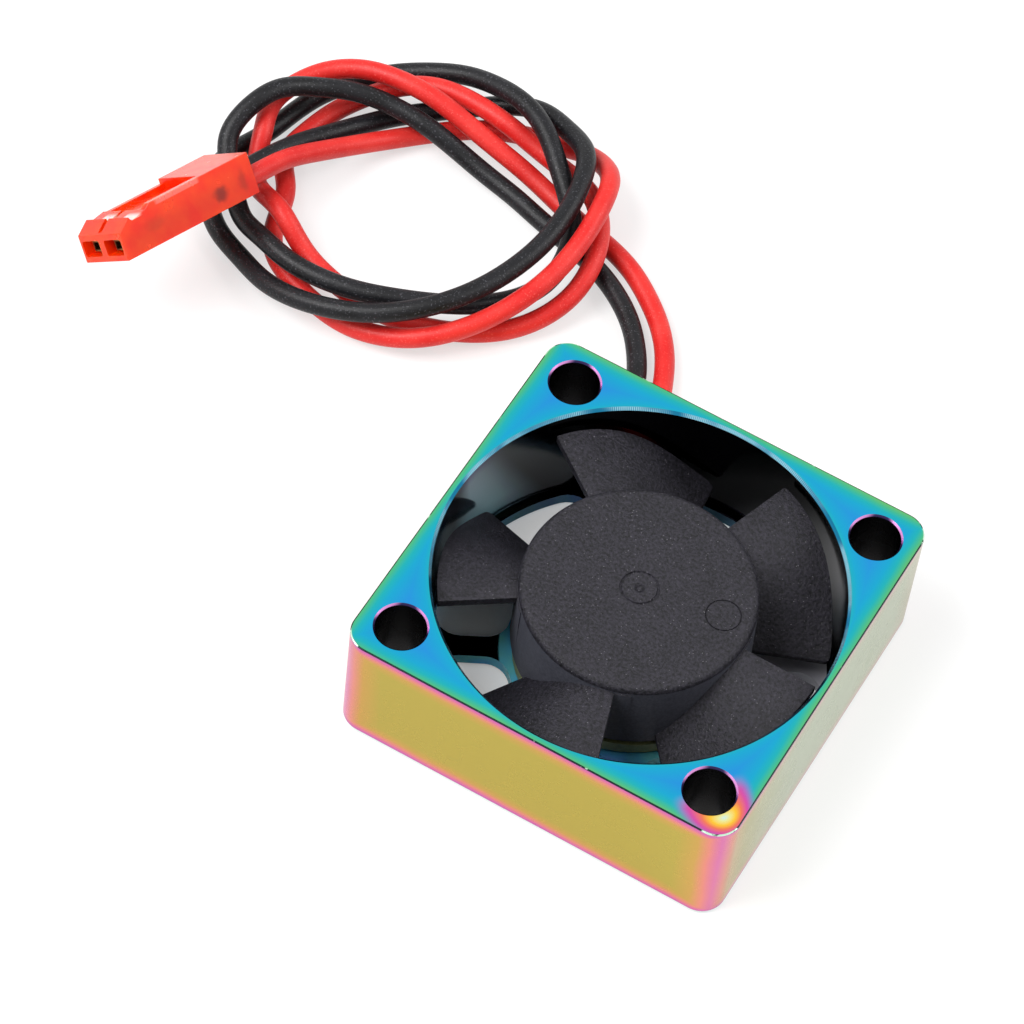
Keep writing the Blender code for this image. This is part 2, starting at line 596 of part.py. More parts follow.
def make_stator():
    """Laminations, insulators and windings round the bearing tube."""
    laminations = material("lamination_steel", (0.40, 0.41, 0.43), 0.5, 1.0)
    nylon = material("insulator_nylon", (0.75, 0.73, 0.66), 0.6)
    enamel = material("coil_enamel", (0.62, 0.27, 0.10), 0.35, 0.8)
    opening = turned(disc_profile(TUBE_SEAT, 0.0, FRAME_HEIGHT), 24, closed=False)
    opening = solid("stator_bore_cutter", opening)
    core = solid("stator_core", prism(spider_outline(SHOE_HALF_ANGLE, POLE_RADIUS), CORE_BOTTOM, CORE_TOP),
                 laminations)
    combine(core, opening, "DIFFERENCE")

    flange_angle = FLANGE_SPREAD * math.degrees(math.asin(LEG_WIDTH / 2 / SHOE_INNER))
    outline = spider_outline(flange_angle, SHOE_INNER + FLANGE_DEPTH)
    rim_outer = CORE_RADIUS
    for place, low, high, rim_low, rim_high in (
        ("lower", LOWER_ARM_BOTTOM, LOWER_ARM_BOTTOM + INSULATOR_WALL,
         LOWER_ARM_BOTTOM - INSULATOR_RIM, LOWER_ARM_BOTTOM + INSULATOR_WALL / 2),
        ("upper", UPPER_ARM_TOP - INSULATOR_WALL, UPPER_ARM_TOP,
         UPPER_ARM_TOP - INSULATOR_WALL / 2, UPPER_ARM_TOP + INSULATOR_RIM),
    ):
        insulator = solid(f"{place}_insulator", prism(outline, low, high), nylon)
        rim = solid(f"{place}_rim_tool", turned(disc_profile(rim_outer, rim_low, rim_high), 28, closed=False))
        combine(insulator, rim, "UNION")
        combine(insulator, opening, "DIFFERENCE")

    hollow = LEG_WIDTH / 2 + PRESS_GAP
    low, high = LOWER_ARM_BOTTOM - PRESS_GAP, UPPER_ARM_TOP + PRESS_GAP
    inner, outer = CORE_RADIUS + PRESS_GAP, SHOE_INNER - PRESS_GAP
    for pole in range(POLE_COUNT):
        turn = pole * 360.0 / POLE_COUNT
        half = hollow + COIL_WALL
        winding = block((inner, -half, low - COIL_WALL), (outer, half, high + COIL_WALL))
        upright = [edge for edge in winding.edges if abs(edge.verts[0].co.x - edge.verts[1].co.x) > 0.01]
        bmesh.ops.bevel(winding, geom=upright, offset=COIL_WALL, segments=3, profile=0.5, affect="EDGES")
        coil = solid(f"coil_{pole + 1}", move(winding, turn=turn), enamel)
        space = block((0.0, -hollow, low), (POLE_RADIUS, hollow, high))
        combine(coil, solid(f"coil_cutter_{pole + 1}", move(space, turn=turn)), "DIFFERENCE")


def make_board():
    """The ring board, what is mounted on it and the leads' joints."""
    laminate = material("board_laminate", (0.28, 0.30, 0.12), 0.55)
    package = material("chip_package", (0.03, 0.03, 0.032), 0.5)
    tin = material("joint_tin", (0.62, 0.63, 0.65), 0.3, 1.0)
    solid("circuit_board", turned(ring_profile(TUBE_SEAT, BOARD_RADIUS, BOARD_BOTTOM, BOARD_TOP)), laminate)
    bottom = BOARD_TOP + SEAT_GAP
    for name, angle, distance, length, width, height in BOARD_COMPONENTS:
        case = block((-length / 2, -width / 2, bottom), (length / 2, width / 2, bottom + height))
        bmesh.ops.translate(case, vec=(distance, 0.0, 0.0), verts=case.verts)
        solid(name, move(case, turn=angle), package)
    for colour, side in LEAD_SIDES.items():
        profile = (
            (0.0, bottom + SOLDER_HEIGHT),
            (SOLDER_RADIUS / 2, bottom + 0.85 * SOLDER_HEIGHT),
            (SOLDER_RADIUS, bottom),
            (0.0, bottom),
        )
        place = lead_place(BOARD_RADIUS - SOLDER_INSET, side)
        joint = move(turned(profile, 16, closed=False), (place.x, place.y, 0.0))
        solid(f"{colour}_solder_joint", joint, tin)


def lead_place(radius, side):
    """A point on a lead's axis in its channel, at a distance from the fan's axis."""
    outward = Vector((*polar(1.0, LEAD_ANGLE), 0.0))
    across = Vector((-outward.y, outward.x, 0.0))
    return outward * radius + across * side * LEAD_PITCH / 2 + Vector((0.0, 0.0, LEAD_AXIS_HEIGHT))


def connector_matrix():
    """Where the connector lies: its front, mid-width and underside meet at its origin."""
    turn = Euler([math.radians(angle) for angle in CONNECTOR_TURN])
    return Matrix.LocRotScale(Vector(CONNECTOR_PLACE), turn, None)


def coil_turns(colour):
    """The turns of a lead's coil, each quarter a piece of an ellipse between two outermost points."""
    extremes = COIL_EXTREMES[colour]
    points = []
    for index, (here, there) in enumerate(zip(extremes, extremes[1:])):
        for step in range(QUARTER_POINTS):
            share = step / QUARTER_POINTS
            out, back = math.sin(share * math.pi / 2), math.cos(share * math.pi / 2)
            if index % 2 == 0:
                x = here[0] + (there[0] - here[0]) * out
                y = there[1] + (here[1] - there[1]) * back
            else:
                x = there[0] + (here[0] - there[0]) * back
                y = here[1] + (there[1] - here[1]) * out
            height = np.interp(share, (0.0, 0.5, 1.0), (here[2], here[3], there[2]))
            points.append((x, y, height))
    return points + [extremes[-1][:3]]


def lead_route(colour):
    """The lead's planned points, from the board through its coil to the connector."""
    side = LEAD_SIDES[colour]
    span = np.linspace(LEAD_START_RADIUS, FRAME_SIDE / 2 + LEAD_OVERRUN, HELD_START)
    route = [tuple(lead_place(radius, side)) for radius in span]
    for x, y, height in (*WAY_IN[colour], *coil_turns(colour), *WAY_OUT[colour]):
        route.append((COIL_CENTRE[0] + x, COIL_CENTRE[1] + y, height))
    matrix = connector_matrix()
    for along in (*LEAD_END_POINTS, -LEAD_INSERT):
        end = (CONNECTOR_LENGTH + along, side * CONNECTOR_PITCH / 2, SOCKET_MIDDLE)
        route.append(tuple(matrix @ Vector(end)))
    return np.array(route)


def spaced(route):
    """Points at even steps along the natural cubic curve through a route."""
    chords = np.linalg.norm(np.diff(route, axis=0), axis=1)
    knots = np.concatenate(([0.0], np.cumsum(chords)))
    system = np.eye(len(route))
    target = np.zeros_like(route)
    for i in range(1, len(route) - 1):
        before, after = chords[i - 1], chords[i]
        system[i, i - 1:i + 2] = before, 2 * (before + after), after
        target[i] = 6 * ((route[i + 1] - route[i]) / after - (route[i] - route[i - 1]) / before)
    bend = np.linalg.solve(system, target)
    marks = np.linspace(0.0, knots[-1], round(knots[-1] / LEAD_STEP) + 1)
    span = np.clip(np.searchsorted(knots, marks, side="right") - 1, 0, len(chords) - 1)
    width = chords[span][:, None]
    right = (marks - knots[span])[:, None] / width
    left = 1.0 - right
    straight = left * route[span] + right * route[span + 1]
    curl = (left ** 3 - left) * bend[span] + (right ** 3 - right) * bend[span + 1]
    return straight + curl * width ** 2 / 6


def connector_guard():
    """Balls that stand in for the connector while the leads are laid, and how close an axis may come."""
    matrix = connector_matrix()
    height = CONNECTOR_HEIGHT / 2
    balls = []
    for x in np.arange(0.0, CONNECTOR_LENGTH, GUARD_STEP):
        for side in LEAD_SIDES.values():
            balls.append(tuple(matrix @ Vector((x, side * CONNECTOR_PITCH / 2, height))))
    radius = math.hypot((CONNECTOR_WIDTH - CONNECTOR_PITCH) / 2, height)
    return np.array(balls), radius + SEAT_GAP + LEAD_DIAMETER / 2


def pushes(spots, others, reach, allowed):
    """How far each spot has to move to get clear of others within reach."""
    square = (spots ** 2).sum(1)[:, None] + (others ** 2).sum(1) - 2 * spots @ others.T
    near, far = np.nonzero((square < reach ** 2) & allowed)
    offset = spots[near] - others[far]
    distance = np.linalg.norm(offset, axis=1)[:, None]
    total = np.zeros_like(spots)
    np.add.at(total, near, offset * (reach - distance) / distance)
    return total / np.maximum(np.bincount(near, minlength=len(spots)), 1)[:, None]


def settled(routes):
    """Lay the leads down together and give back their points.

    At each step a lead eases off what it touches, evens out its bends, leans towards its plan
    and sinks. In the last steps it only eases off, so that the gaps are kept.
    """
    lengths = [len(route) for route in routes.values()]
    plan = np.concatenate(list(routes.values()))
    points = plan.copy()
    lead = np.repeat(np.arange(len(lengths)), lengths)
    from_start = np.concatenate([np.arange(length) for length in lengths])
    from_end = np.concatenate([np.arange(length)[::-1] for length in lengths])
    free = (from_start >= HELD_START) & (from_end >= HELD_END)
    pieces = np.flatnonzero(lead[:-1] == lead[1:])
    start = np.repeat(pieces, LEAD_SPOTS)
    share = np.tile(np.arange(LEAD_SPOTS) / LEAD_SPOTS, len(pieces))[:, None]
    along = (start + share[:, 0]) * LEAD_STEP
    clear_of = (lead[start][:, None] != lead[start]) | (np.abs(along[:, None] - along) > 5 * LEAD_DIAMETER)
    guard, guard_reach = connector_guard()
    off_guard = (from_end[start] >= 2 * HELD_END)[:, None]
    for step in range(SETTLE_STEPS + CLEAR_STEPS):
        spots = points[start] * (1.0 - share) + points[start + 1] * share
        push = pushes(spots, spots, LEAD_DIAMETER + LEAD_GAP, clear_of) / 2
        push += pushes(spots, guard, guard_reach, off_guard)
        touched = push.any(axis=1)[:, None]
        change = np.zeros_like(points)
        weight = np.zeros((len(points), 1))
        for index, part in ((start, 1.0 - share), (start + 1, share)):
            np.add.at(change, index, push * part)
            np.add.at(weight, index, touched * part)
        change /= np.maximum(weight, LEAST_WEIGHT)
        if step < SETTLE_STEPS:
            bend = np.zeros_like(points)
            bend[1:-1] = (points[:-2] + points[2:]) / 2 - points[1:-1]
            change[1:-1] -= EVEN_SHARE * ((bend[:-2] + bend[2:]) / 2 - bend[1:-1])
            change[:, :2] += PLAN_SHARE * (plan - points)[:, :2]
            change[:, 2] -= SINK
        points[free] += change[free]
        points[:, 2] = np.maximum(points[:, 2], LEAD_DIAMETER / 2)
    return dict(zip(routes, np.split(points, np.cumsum(lengths)[:-1])))


def dense(points, parts=6):
    """Points spaced closely along a run of straight pieces, with their distance along it."""
    share = np.arange(parts) / parts
    runs = points[:-1, None] + (points[1:] - points[:-1])[:, None] * share[None, :, None]
    line = np.concatenate((runs.reshape(-1, 3), points[-1:]))
    steps = np.linalg.norm(np.diff(line, axis=0), axis=1)
    return line, np.concatenate(([0.0], np.cumsum(steps)))


def least_gap(first, second=None):
    """Least clear distance from a lead to itself, or to another lead."""
    line, along = dense(first)
    other, other_along = dense(first if second is None else second)
    apart = np.linalg.norm(line[:, None] - other[None], axis=2)
    if second is None:
        apart[np.abs(along[:, None] - other_along[None]) < 5 * LEAD_DIAMETER] = np.inf
    return apart.min() - LEAD_DIAMETER


def make_leads():
    """The two silicone leads, each one unbroken tube."""
    finishes = {
        "red": material("red_silicone", (0.82, 0.05, 0.05), 0.5),
        "black": material("black_silicone", (0.03, 0.03, 0.035), 0.5),
    }
    routes = settled({colour: spaced(lead_route(colour)) for colour in finishes})
    for colour, finish in finishes.items():
        points = routes[colour]
        curve = bpy.data.curves.new(f"{colour}_lead", "CURVE")
        curve.dimensions = "3D"
        curve.bevel_depth = LEAD_DIAMETER / 2 * MM
        curve.bevel_resolution = 1
        curve.use_fill_caps = True
        spline = curve.splines.new("POLY")
        spline.points.add(len(points) - 1)
        for knot, point in zip(spline.points, points):
            knot.co = (*(Vector(point) * MM), 1.0)
        new_object(f"{colour}_lead", curve, finish)
        length = dense(points)[1][-1]
        print(f"{colour} lead: {length:.1f} mm long, least gap to itself {least_gap(points):.2f} mm")
    print(f"least gap between the leads {least_gap(routes['red'], routes['black']):.2f} mm")


def make_connector():
    """The two-pin housing with its latch wedges, rails, sockets, lead entries and contacts."""
    plastic = material("connector_red", (0.95, 0.10, 0.04), 0.25, 0.0, 0.8)
    tin = material("contact_tin", (0.60, 0.55, 0.45), 0.35, 1.0)
    parent = seat("connector_seat", CONNECTOR_PLACE, CONNECTOR_TURN)
    half = CONNECTOR_WIDTH / 2
    rear = ((0.0, 0.0), (CONNECTOR_LENGTH, 0.0), (CONNECTOR_LENGTH, CONNECTOR_HEIGHT))
    side_view = (*rear, *CONNECTOR_TOP[::-1])
    flanks = [[(x, y, z) for x, z in side_view] for y in (half, -half)]
    housing = solid("connector_housing", lofted(flanks), plastic, parent)

    rail = half - RAIL_WIDTH
    above = CONNECTOR_HEIGHT + CUTTER_OVERRUN
    recess = block((LATCH_END, -rail, RECESS_FLOOR), (RECESS_END, rail, above))
    combine(housing, solid("recess_cutter", recess, None, parent), "DIFFERENCE")
    key = block((LATCH_END, rail - CUTTER_OVERRUN, KEY_RAIL_HEIGHT),
                (RECESS_END, half + CUTTER_OVERRUN, above))
    combine(housing, solid("key_rail_cutter", key, None, parent), "DIFFERENCE")
    slot = block((-CUTTER_OVERRUN, -CREST_SLOT / 2, CREST_SLOT_FLOOR),
                 (LATCH_END + CUTTER_OVERRUN, CREST_SLOT / 2, above))
    combine(housing, solid("crest_slot_cutter", slot, None, parent), "DIFFERENCE")
    socket_low, socket_high = SOCKET_FLOOR, SOCKET_FLOOR + SOCKET_HEIGHT
    for colour, side in LEAD_SIDES.items():
        y = side * CONNECTOR_PITCH / 2
        low, high = y - SOCKET_WIDTH / 2, y + SOCKET_WIDTH / 2
        socket = block((-CUTTER_OVERRUN, low, socket_low), (SOCKET_DEPTH, high, socket_high))
        combine(housing, solid(f"{colour}_socket_cutter", socket, None, parent), "DIFFERENCE")
        hole = disc_profile(LEAD_DIAMETER / 2 + PRESS_GAP, 0.0, LEAD_ENTRY + CUTTER_OVERRUN)
        entry = turned(hole, 16, closed=False)
        bmesh.ops.rotate(entry, cent=(0, 0, 0), verts=entry.verts,
                         matrix=Matrix.Rotation(math.radians(90.0), 3, "Y"))
        move(entry, (CONNECTOR_LENGTH - LEAD_ENTRY, y, SOCKET_MIDDLE))
        combine(housing, solid(f"{colour}_entry_cutter", entry, None, parent), "DIFFERENCE")

        contact = block((2 * SEAT_GAP, low + SEAT_GAP, socket_low + SEAT_GAP),
                        (SOCKET_DEPTH - SEAT_GAP, high - SEAT_GAP, socket_high - SEAT_GAP))
        solid(f"{colour}_contact", contact, tin, parent)


def main():
    """Build every piece of the fan."""
    clear_scene()
    make_frame(material("frame_coating", (0.10, 0.45, 0.60), 0.18, 1.0))
    make_bearing_seat()
    make_stator()
    make_board()
    rotor_axis = seat("rotor_axis")
    make_impeller(material("impeller_plastic", (0.035, 0.034, 0.037), 0.6), rotor_axis)
    make_rotor(rotor_axis)
    make_ball_cages(seat("ball_cage_axis"))
    make_leads()
    make_connector()


main()
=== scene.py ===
"""Looks of a small axial cooling fan with two coiled leads and a two-pin connector.

Shapes are drawn in millimetres and become metres when a piece is finished. The origin is
the centre of the frame's underside, with +Z up the shaft.
"""
import logging
import math
from dataclasses import dataclass
from enum import Enum
from functools import partialmethod
from typing import Callable, ClassVar, Iterable, Sequence

import bmesh
import bpy
import numpy as np
from mathutils import Color, Euler, Matrix, Vector


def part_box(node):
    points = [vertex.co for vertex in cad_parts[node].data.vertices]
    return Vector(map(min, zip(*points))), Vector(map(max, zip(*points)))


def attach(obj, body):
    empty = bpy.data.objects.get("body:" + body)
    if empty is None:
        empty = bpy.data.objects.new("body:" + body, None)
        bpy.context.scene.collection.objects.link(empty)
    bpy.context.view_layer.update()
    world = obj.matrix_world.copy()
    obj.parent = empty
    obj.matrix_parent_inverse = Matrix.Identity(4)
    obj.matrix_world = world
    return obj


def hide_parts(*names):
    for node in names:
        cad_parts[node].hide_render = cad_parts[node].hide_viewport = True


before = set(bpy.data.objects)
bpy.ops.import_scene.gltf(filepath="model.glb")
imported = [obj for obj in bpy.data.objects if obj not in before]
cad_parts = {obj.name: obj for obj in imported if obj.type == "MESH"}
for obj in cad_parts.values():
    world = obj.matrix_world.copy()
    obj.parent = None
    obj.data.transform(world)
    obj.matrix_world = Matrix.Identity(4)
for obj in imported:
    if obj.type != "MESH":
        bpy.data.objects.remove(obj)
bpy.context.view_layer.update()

MM = 0.001
LOG = logging.getLogger("fan")

Point = tuple[float, float, float]
Flat = tuple[float, float]
Colour = tuple[float, float, float, float]
Stops = tuple[tuple[float, Colour], ...]
Piece = bpy.types.Object
Material = bpy.types.Material
Vert = bmesh.types.BMVert
Edge = bmesh.types.BMEdge
Face = bmesh.types.BMFace

AXIS: Flat = (0.0, 0.0)
WHITE: Colour = (1.0, 1.0, 1.0, 1.0)


def screen(red: int, green: int, blue: int) -> Colour:
    """Turn a screen colour from 0 to 255 into the linear colour that a shader takes."""
    return (*Color((red / 255, green / 255, blue / 255)).from_srgb_to_scene_linear(), 1.0)


def ladder(*rows: tuple[float, int, int, int]) -> Stops:
    """Turn rows of a level and a screen colour into the stops of a ramp."""
    return tuple((level, screen(*colour)) for level, *colour in rows)


def polar(radius: float, angle: float) -> Flat:
    """Give the flat point at a distance and an angle in degrees from the axis."""
    return radius * math.cos(math.radians(angle)), radius * math.sin(math.radians(angle))


def bearing(x: float, y: float) -> float:
    """Give the angle of a flat point about the axis, in degrees."""
    return math.degrees(math.atan2(y, x))


def arc(centre: Flat, radius: float, start: float, end: float, steps: int) -> list[Flat]:
    """Give points along an arc, both ends included.

    Args:
        centre: Centre of the arc.
        radius: Its radius.
        start: First angle in degrees.
        end: Last angle in degrees.
        steps: Number of chords.

    Returns:
        The points in order.
    """
    angles = np.linspace(start, end, steps + 1)
    return [(centre[0] + polar(radius, a)[0], centre[1] + polar(radius, a)[1]) for a in angles]


def travelled(points: np.ndarray) -> np.ndarray:
    """Give the distance along a line of points at each of them."""
    return np.concatenate(([0.0], np.cumsum(np.linalg.norm(np.diff(points, axis=0), axis=1))))


def cubic(knots: np.ndarray, values: np.ndarray, at: np.ndarray) -> np.ndarray:
    """Read a natural cubic curve through given values.

    Args:
        knots: Increasing positions of the values.
        values: One row for each knot.
        at: Positions to read.

    Returns:
        One row for each position.
    """
    widths = np.diff(knots)
    system = np.eye(len(knots))
    target = np.zeros_like(values)
    for i in range(1, len(knots) - 1):
        before, after = widths[i - 1], widths[i]
        system[i, i - 1:i + 2] = before, 2 * (before + after), after
        target[i] = 6 * ((values[i + 1] - values[i]) / after - (values[i] - values[i - 1]) / before)
    bend = np.linalg.solve(system, target)
    place = np.clip(np.searchsorted(knots, at, side="right") - 1, 0, len(widths) - 1)
    span = widths[place]
    left = ((knots[place + 1] - at) / span)[:, None]
    right = 1.0 - left
    ease = (span ** 2 / 6)[:, None]
    straight = left * values[place] + right * values[place + 1]
    return straight + ease * ((left ** 3 - left) * bend[place] + (right ** 3 - right) * bend[place + 1])


def run(edge: Edge, axis: int) -> float:
    """Give how far an edge runs along an axis."""
    return abs(edge.verts[0].co[axis] - edge.verts[1].co[axis])


def fold(edge: Edge) -> float:
    """Give the angle between an edge's faces, in degrees."""
    return math.degrees(edge.calc_face_angle(0.0))


def link(name: str, data: bpy.types.ID) -> Piece:
    """Put an object into the scene.

    Args:
        name: Its name.
        data: Its mesh, curve, light or camera.

    Returns:
        The object.
    """
    item = bpy.data.objects.new(name, data)
    bpy.context.scene.collection.objects.link(item)
    return item


class Join(Enum):
    """How a tool acts on a piece."""

    CUT = "DIFFERENCE"
    ADD = "UNION"


class Shape:
    """A closed form in millimetres, made with bmesh operators."""

    WELD: ClassVar[float] = 1e-4

    def __init__(self) -> None:
        """Start with nothing."""
        self.mesh = bmesh.new()

    @classmethod
    def turned(cls, profile: Sequence[Flat], steps: int, ring: bool = False) -> "Shape":
        """Spin a profile of (radius, height) points about Z.

        Args:
            profile: Points from top to bottom on the outer side.
            steps: Number of facets round the axis.
            ring: Whether the profile closes on itself, away from the axis.

        Returns:
            The turned form.
        """
        shape = cls()
        points = [shape.mesh.verts.new((radius, 0.0, height)) for radius, height in profile]
        edges = [shape.mesh.edges.new(pair) for pair in zip(points, points[1:])]
        if ring:
            edges.append(shape.mesh.edges.new((points[-1], points[0])))
        bmesh.ops.spin(shape.mesh, geom=points + edges, cent=(0, 0, 0), axis=(0, 0, 1),
                       angle=math.tau, steps=steps, use_merge=True)
        return shape

    @classmethod
    def plug(cls, radius: float, low: float, high: float, steps: int) -> "Shape":
        """Turn a plain round tool between two heights."""
        return cls.turned(((0.0, high), (radius, high), (radius, low), (0.0, low)), steps)

    @classmethod
    def prism(cls, outline: Sequence[Flat], low: float, high: float) -> "Shape":
        """Extrude a flat outline from one height to another.

        Args:
            outline: Corners in order.
            low: Lower height.
            high: Upper height.

        Returns:
            The prism.
        """
        shape = cls()
        face = shape.mesh.faces.new([shape.mesh.verts.new((x, y, low)) for x, y in outline])
        bmesh.ops.translate(shape.mesh, vec=(0, 0, high - low), verts=shape.extruded(face).verts)
        return shape

    @classmethod
    def box(cls, low: Point, high: Point) -> "Shape":
        """Make a box.

        Args:
            low: Its lowest corner.
            high: Its highest corner.

        Returns:
            The box.
        """
        shape = cls()
        bmesh.ops.create_cube(shape.mesh, size=1.0)
        bmesh.ops.scale(shape.mesh, vec=[b - a for a, b in zip(low, high)], verts=shape.mesh.verts)
        return shape.shift(*((a + b) / 2 for a, b in zip(low, high)))

    def extruded(self, face: Face) -> Face:
        """Extrude a face in place and give the new one."""
        grown = bmesh.ops.extrude_face_region(self.mesh, geom=[face])["geom"]
        return next(item for item in grown if isinstance(item, Face))

    def bevel(self, width: float, chosen: Callable[[Edge], bool], segments: int = 2) -> "Shape":
        """Bevel the edges that a test picks.

        Args:
            width: Width of the bevel.
            chosen: Test of an edge.
            segments: Facets across it.

        Returns:
            The same form.
        """
        edges = [edge for edge in self.mesh.edges if chosen(edge)]
        bmesh.ops.bevel(self.mesh, geom=edges, offset=width, segments=segments, profile=0.5,
                        affect="EDGES", material=-1)
        return self

    def place(self, matrix: Matrix) -> "Shape":
        """Move the whole form by a matrix."""
        bmesh.ops.transform(self.mesh, matrix=matrix, verts=self.mesh.verts)
        return self

    def turn(self, angle: float, axis: str = "Z") -> "Shape":
        """Turn the form about an axis through the origin, by degrees."""
        return self.place(Matrix.Rotation(math.radians(angle), 4, axis))

    def shift(self, *offset: float) -> "Shape":
        """Shift the form."""
        return self.place(Matrix.Translation(offset))

    def face_outwards(self) -> None:
        """Let every face point outwards."""
        bmesh.ops.recalc_face_normals(self.mesh, faces=self.mesh.faces)

    def piece(self, name: str) -> Piece:
        """Close the form and make it an object, still in millimetres.

        Args:
            name: Name of the object.

        Returns:
            The object, in the scene.
        """
        bmesh.ops.remove_doubles(self.mesh, verts=self.mesh.verts, dist=self.WELD)
        self.face_outwards()
        data = bpy.data.meshes.new(name)
        self.mesh.to_mesh(data)
        self.mesh.free()
        return link(name, data)


def settle_modifiers(item: Piece) -> None:
    """Make a piece's modifiers part of its mesh.

    Args:
        item: Piece that changes.
    """
    graph = bpy.context.evaluated_depsgraph_get()
    solid = bpy.data.meshes.new_from_object(item.evaluated_get(graph))
    item.modifiers.clear()
    old, item.data = item.data, solid
    bpy.data.meshes.remove(old)


def apply_tools(item: Piece, how: Join, *tools: Shape) -> None:
    """Cut forms out of a piece, or join them on, one after another.

    Args:
        item: Piece that changes.
        how: Cut or add.
        tools: Forms that act on it, used up here.
    """
    for tool in tools:
        helper = tool.piece("tool")
        step = item.modifiers.new("step", "BOOLEAN")
        step.operation = how.value
        step.solver = "EXACT"
        step.object = helper
        settle_modifiers(item)
        data = helper.data
        bpy.data.objects.remove(helper)
        bpy.data.meshes.remove(data)


def dress(item: Piece, *materials: Material) -> None:
    """Give a piece its materials in place of any it has."""
    item.data.materials.clear()
    for material in materials:
        item.data.materials.append(material)


def stand_in(item: Piece, body: str, node: str) -> None:
    """Let a piece ride on a body in place of a solid.

    Args:
        item: The piece, in metres.
        body: Body that carries it.
        node: Solid that it stands for.
    """
    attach(item, body)
    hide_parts(node)


def publish(item: Piece, body: str, node: str, sharp: float) -> Piece:
    """Turn a piece into metres, shade it and put it in a solid's place.

    Args:
        item: Piece drawn in millimetres.
        body: Body that carries it.
        node: Solid that it stands for.
        sharp: Edge angle in degrees from which shading breaks.

    Returns:
        The same piece.
    """
    item.data.transform(Matrix.Scale(MM, 4))
    item.data.shade_smooth()
    item.data.set_sharp_from_angle(angle=math.radians(sharp))
    item.modifiers.new("even", "WEIGHTED_NORMAL").keep_sharp = True
    settle_modifiers(item)
    stand_in(item, body, node)
    return item


class Value:
    """A socket's value on its way through a material's nodes."""

    def __init__(self, nodes: "NodeTree", socket: bpy.types.NodeSocket) -> None:
        """Wrap an output socket."""
        self.nodes = nodes
        self.socket = socket

    def math(self, operation: str, *others: "Value | float") -> "Value":
        """Put this value and others through a Math node."""
        return self.nodes.add("ShaderNodeMath", {"operation": operation}, dict(enumerate((self, *others))))

    # Each of these is one Math node
    __add__ = __radd__ = partialmethod(math, "ADD")
    __sub__ = partialmethod(math, "SUBTRACT")
    __mul__ = __rmul__ = partialmethod(math, "MULTIPLY")
    __truediv__ = partialmethod(math, "DIVIDE")
    __abs__ = partialmethod(math, "ABSOLUTE")
    least = partialmethod(math, "MINIMUM")
    most = partialmethod(math, "MAXIMUM")

    def __rsub__(self, other: float) -> "Value":
        """Subtract this from a number."""
        return (self * -1.0) + other

    def hypot(self, other: "Value") -> "Value":
        """Give the length of a flat vector with this and another as its parts."""
        return (self * self + other * other).math("SQRT")

    def swing(self, width: float) -> "Value":
        """Turn a share about one half into a swing about 0."""
        return (self - 0.5) * width

    def step(self, low: float, high: float) -> "Value":
        """Rise smoothly from 0 at one level to 1 at another."""
        settings = {"interpolation_type": "SMOOTHSTEP"}
        return self.nodes.add("ShaderNodeMapRange", settings, {0: self, 1: low, 2: high})

    def drop(self, low: float, high: float) -> "Value":
        """Fall smoothly from 1 at one level to 0 at another."""
        return 1.0 - self.step(low, high)

    def ramp(self, stops: Stops) -> "Value":
        """Read a colour from stops at given levels.

        Args:
            stops: Rising levels with their colours.

        Returns:
            The colour.
        """
        low, high = stops[0][0], stops[-1][0]
        spread = tuple(((level - low) / (high - low), colour) for level, colour in stops)
        share = (self - low) / (high - low)
        return self.nodes.add("ShaderNodeValToRGB", {"stops": spread}, {0: share})

    def mixed(self, other: "Value | Colour", share: "Value | float") -> "Value":
        """Blend this colour towards another by a share."""
        settings = {"data_type": "RGBA"}
        return self.nodes.add("ShaderNodeMix", settings, {0: share, 6: self, 7: other}, output=2)


Input = Value | float | Sequence[float]


class NodeTree:
    """A node tree that values run through."""

    def __init__(self, tree: bpy.types.NodeTree) -> None:
        """Take a tree to add to."""
        self.tree = tree

    def add(self, kind: str, settings: dict | None = None, inputs: dict | None = None,
            output: int | str = 0) -> Value:
        """Add one node.

        Args:
            kind: Node type.
            settings: Properties, set first. A ramp takes its stops here.
            inputs: Values or links, by socket name or number.
            output: Socket to read.

        Returns:
            The node's output.
        """
        node = self.tree.nodes.new(kind)
        for key, setting in (settings or {}).items():
            if key == "stops":
                self.set_stops(node.color_ramp, setting)
            else:
                setattr(node, key, setting)
        for key, value in (inputs or {}).items():
            self.feed(node.inputs[key], value)
        return Value(self, node.outputs[output])

    @staticmethod
    def set_stops(ramp: bpy.types.ColorRamp, stops: Stops) -> None:
        """Give a ramp its stops.

        Args:
            ramp: Ramp of a node.
            stops: Rising shares with their colours.
        """
        while len(ramp.elements) < len(stops):
            ramp.elements.new(1.0)
        for element, (level, colour) in zip(ramp.elements, stops):
            element.position = level
            element.color = colour

    def feed(self, socket: bpy.types.NodeSocket, value: Input) -> None:
        """Link a value to a socket, or set a plain number or colour on it.

        Args:
            socket: Input of a node.
            value: What it takes.
        """
        if isinstance(value, Value):
            self.tree.links.new(value.socket, socket)
        else:
            socket.default_value = value

    def ray(self, kind: str) -> Value:
        """Give 1 on rays of one kind."""
        return self.add("ShaderNodeLightPath", output=f"Is {kind} Ray")

    def seen_share(self) -> Value:
        """Give 1 on rays that show the surroundings: seen, mirrored or through clear plastic."""
        return self.ray("Camera").most(self.ray("Glossy").most(self.ray("Transmission")))


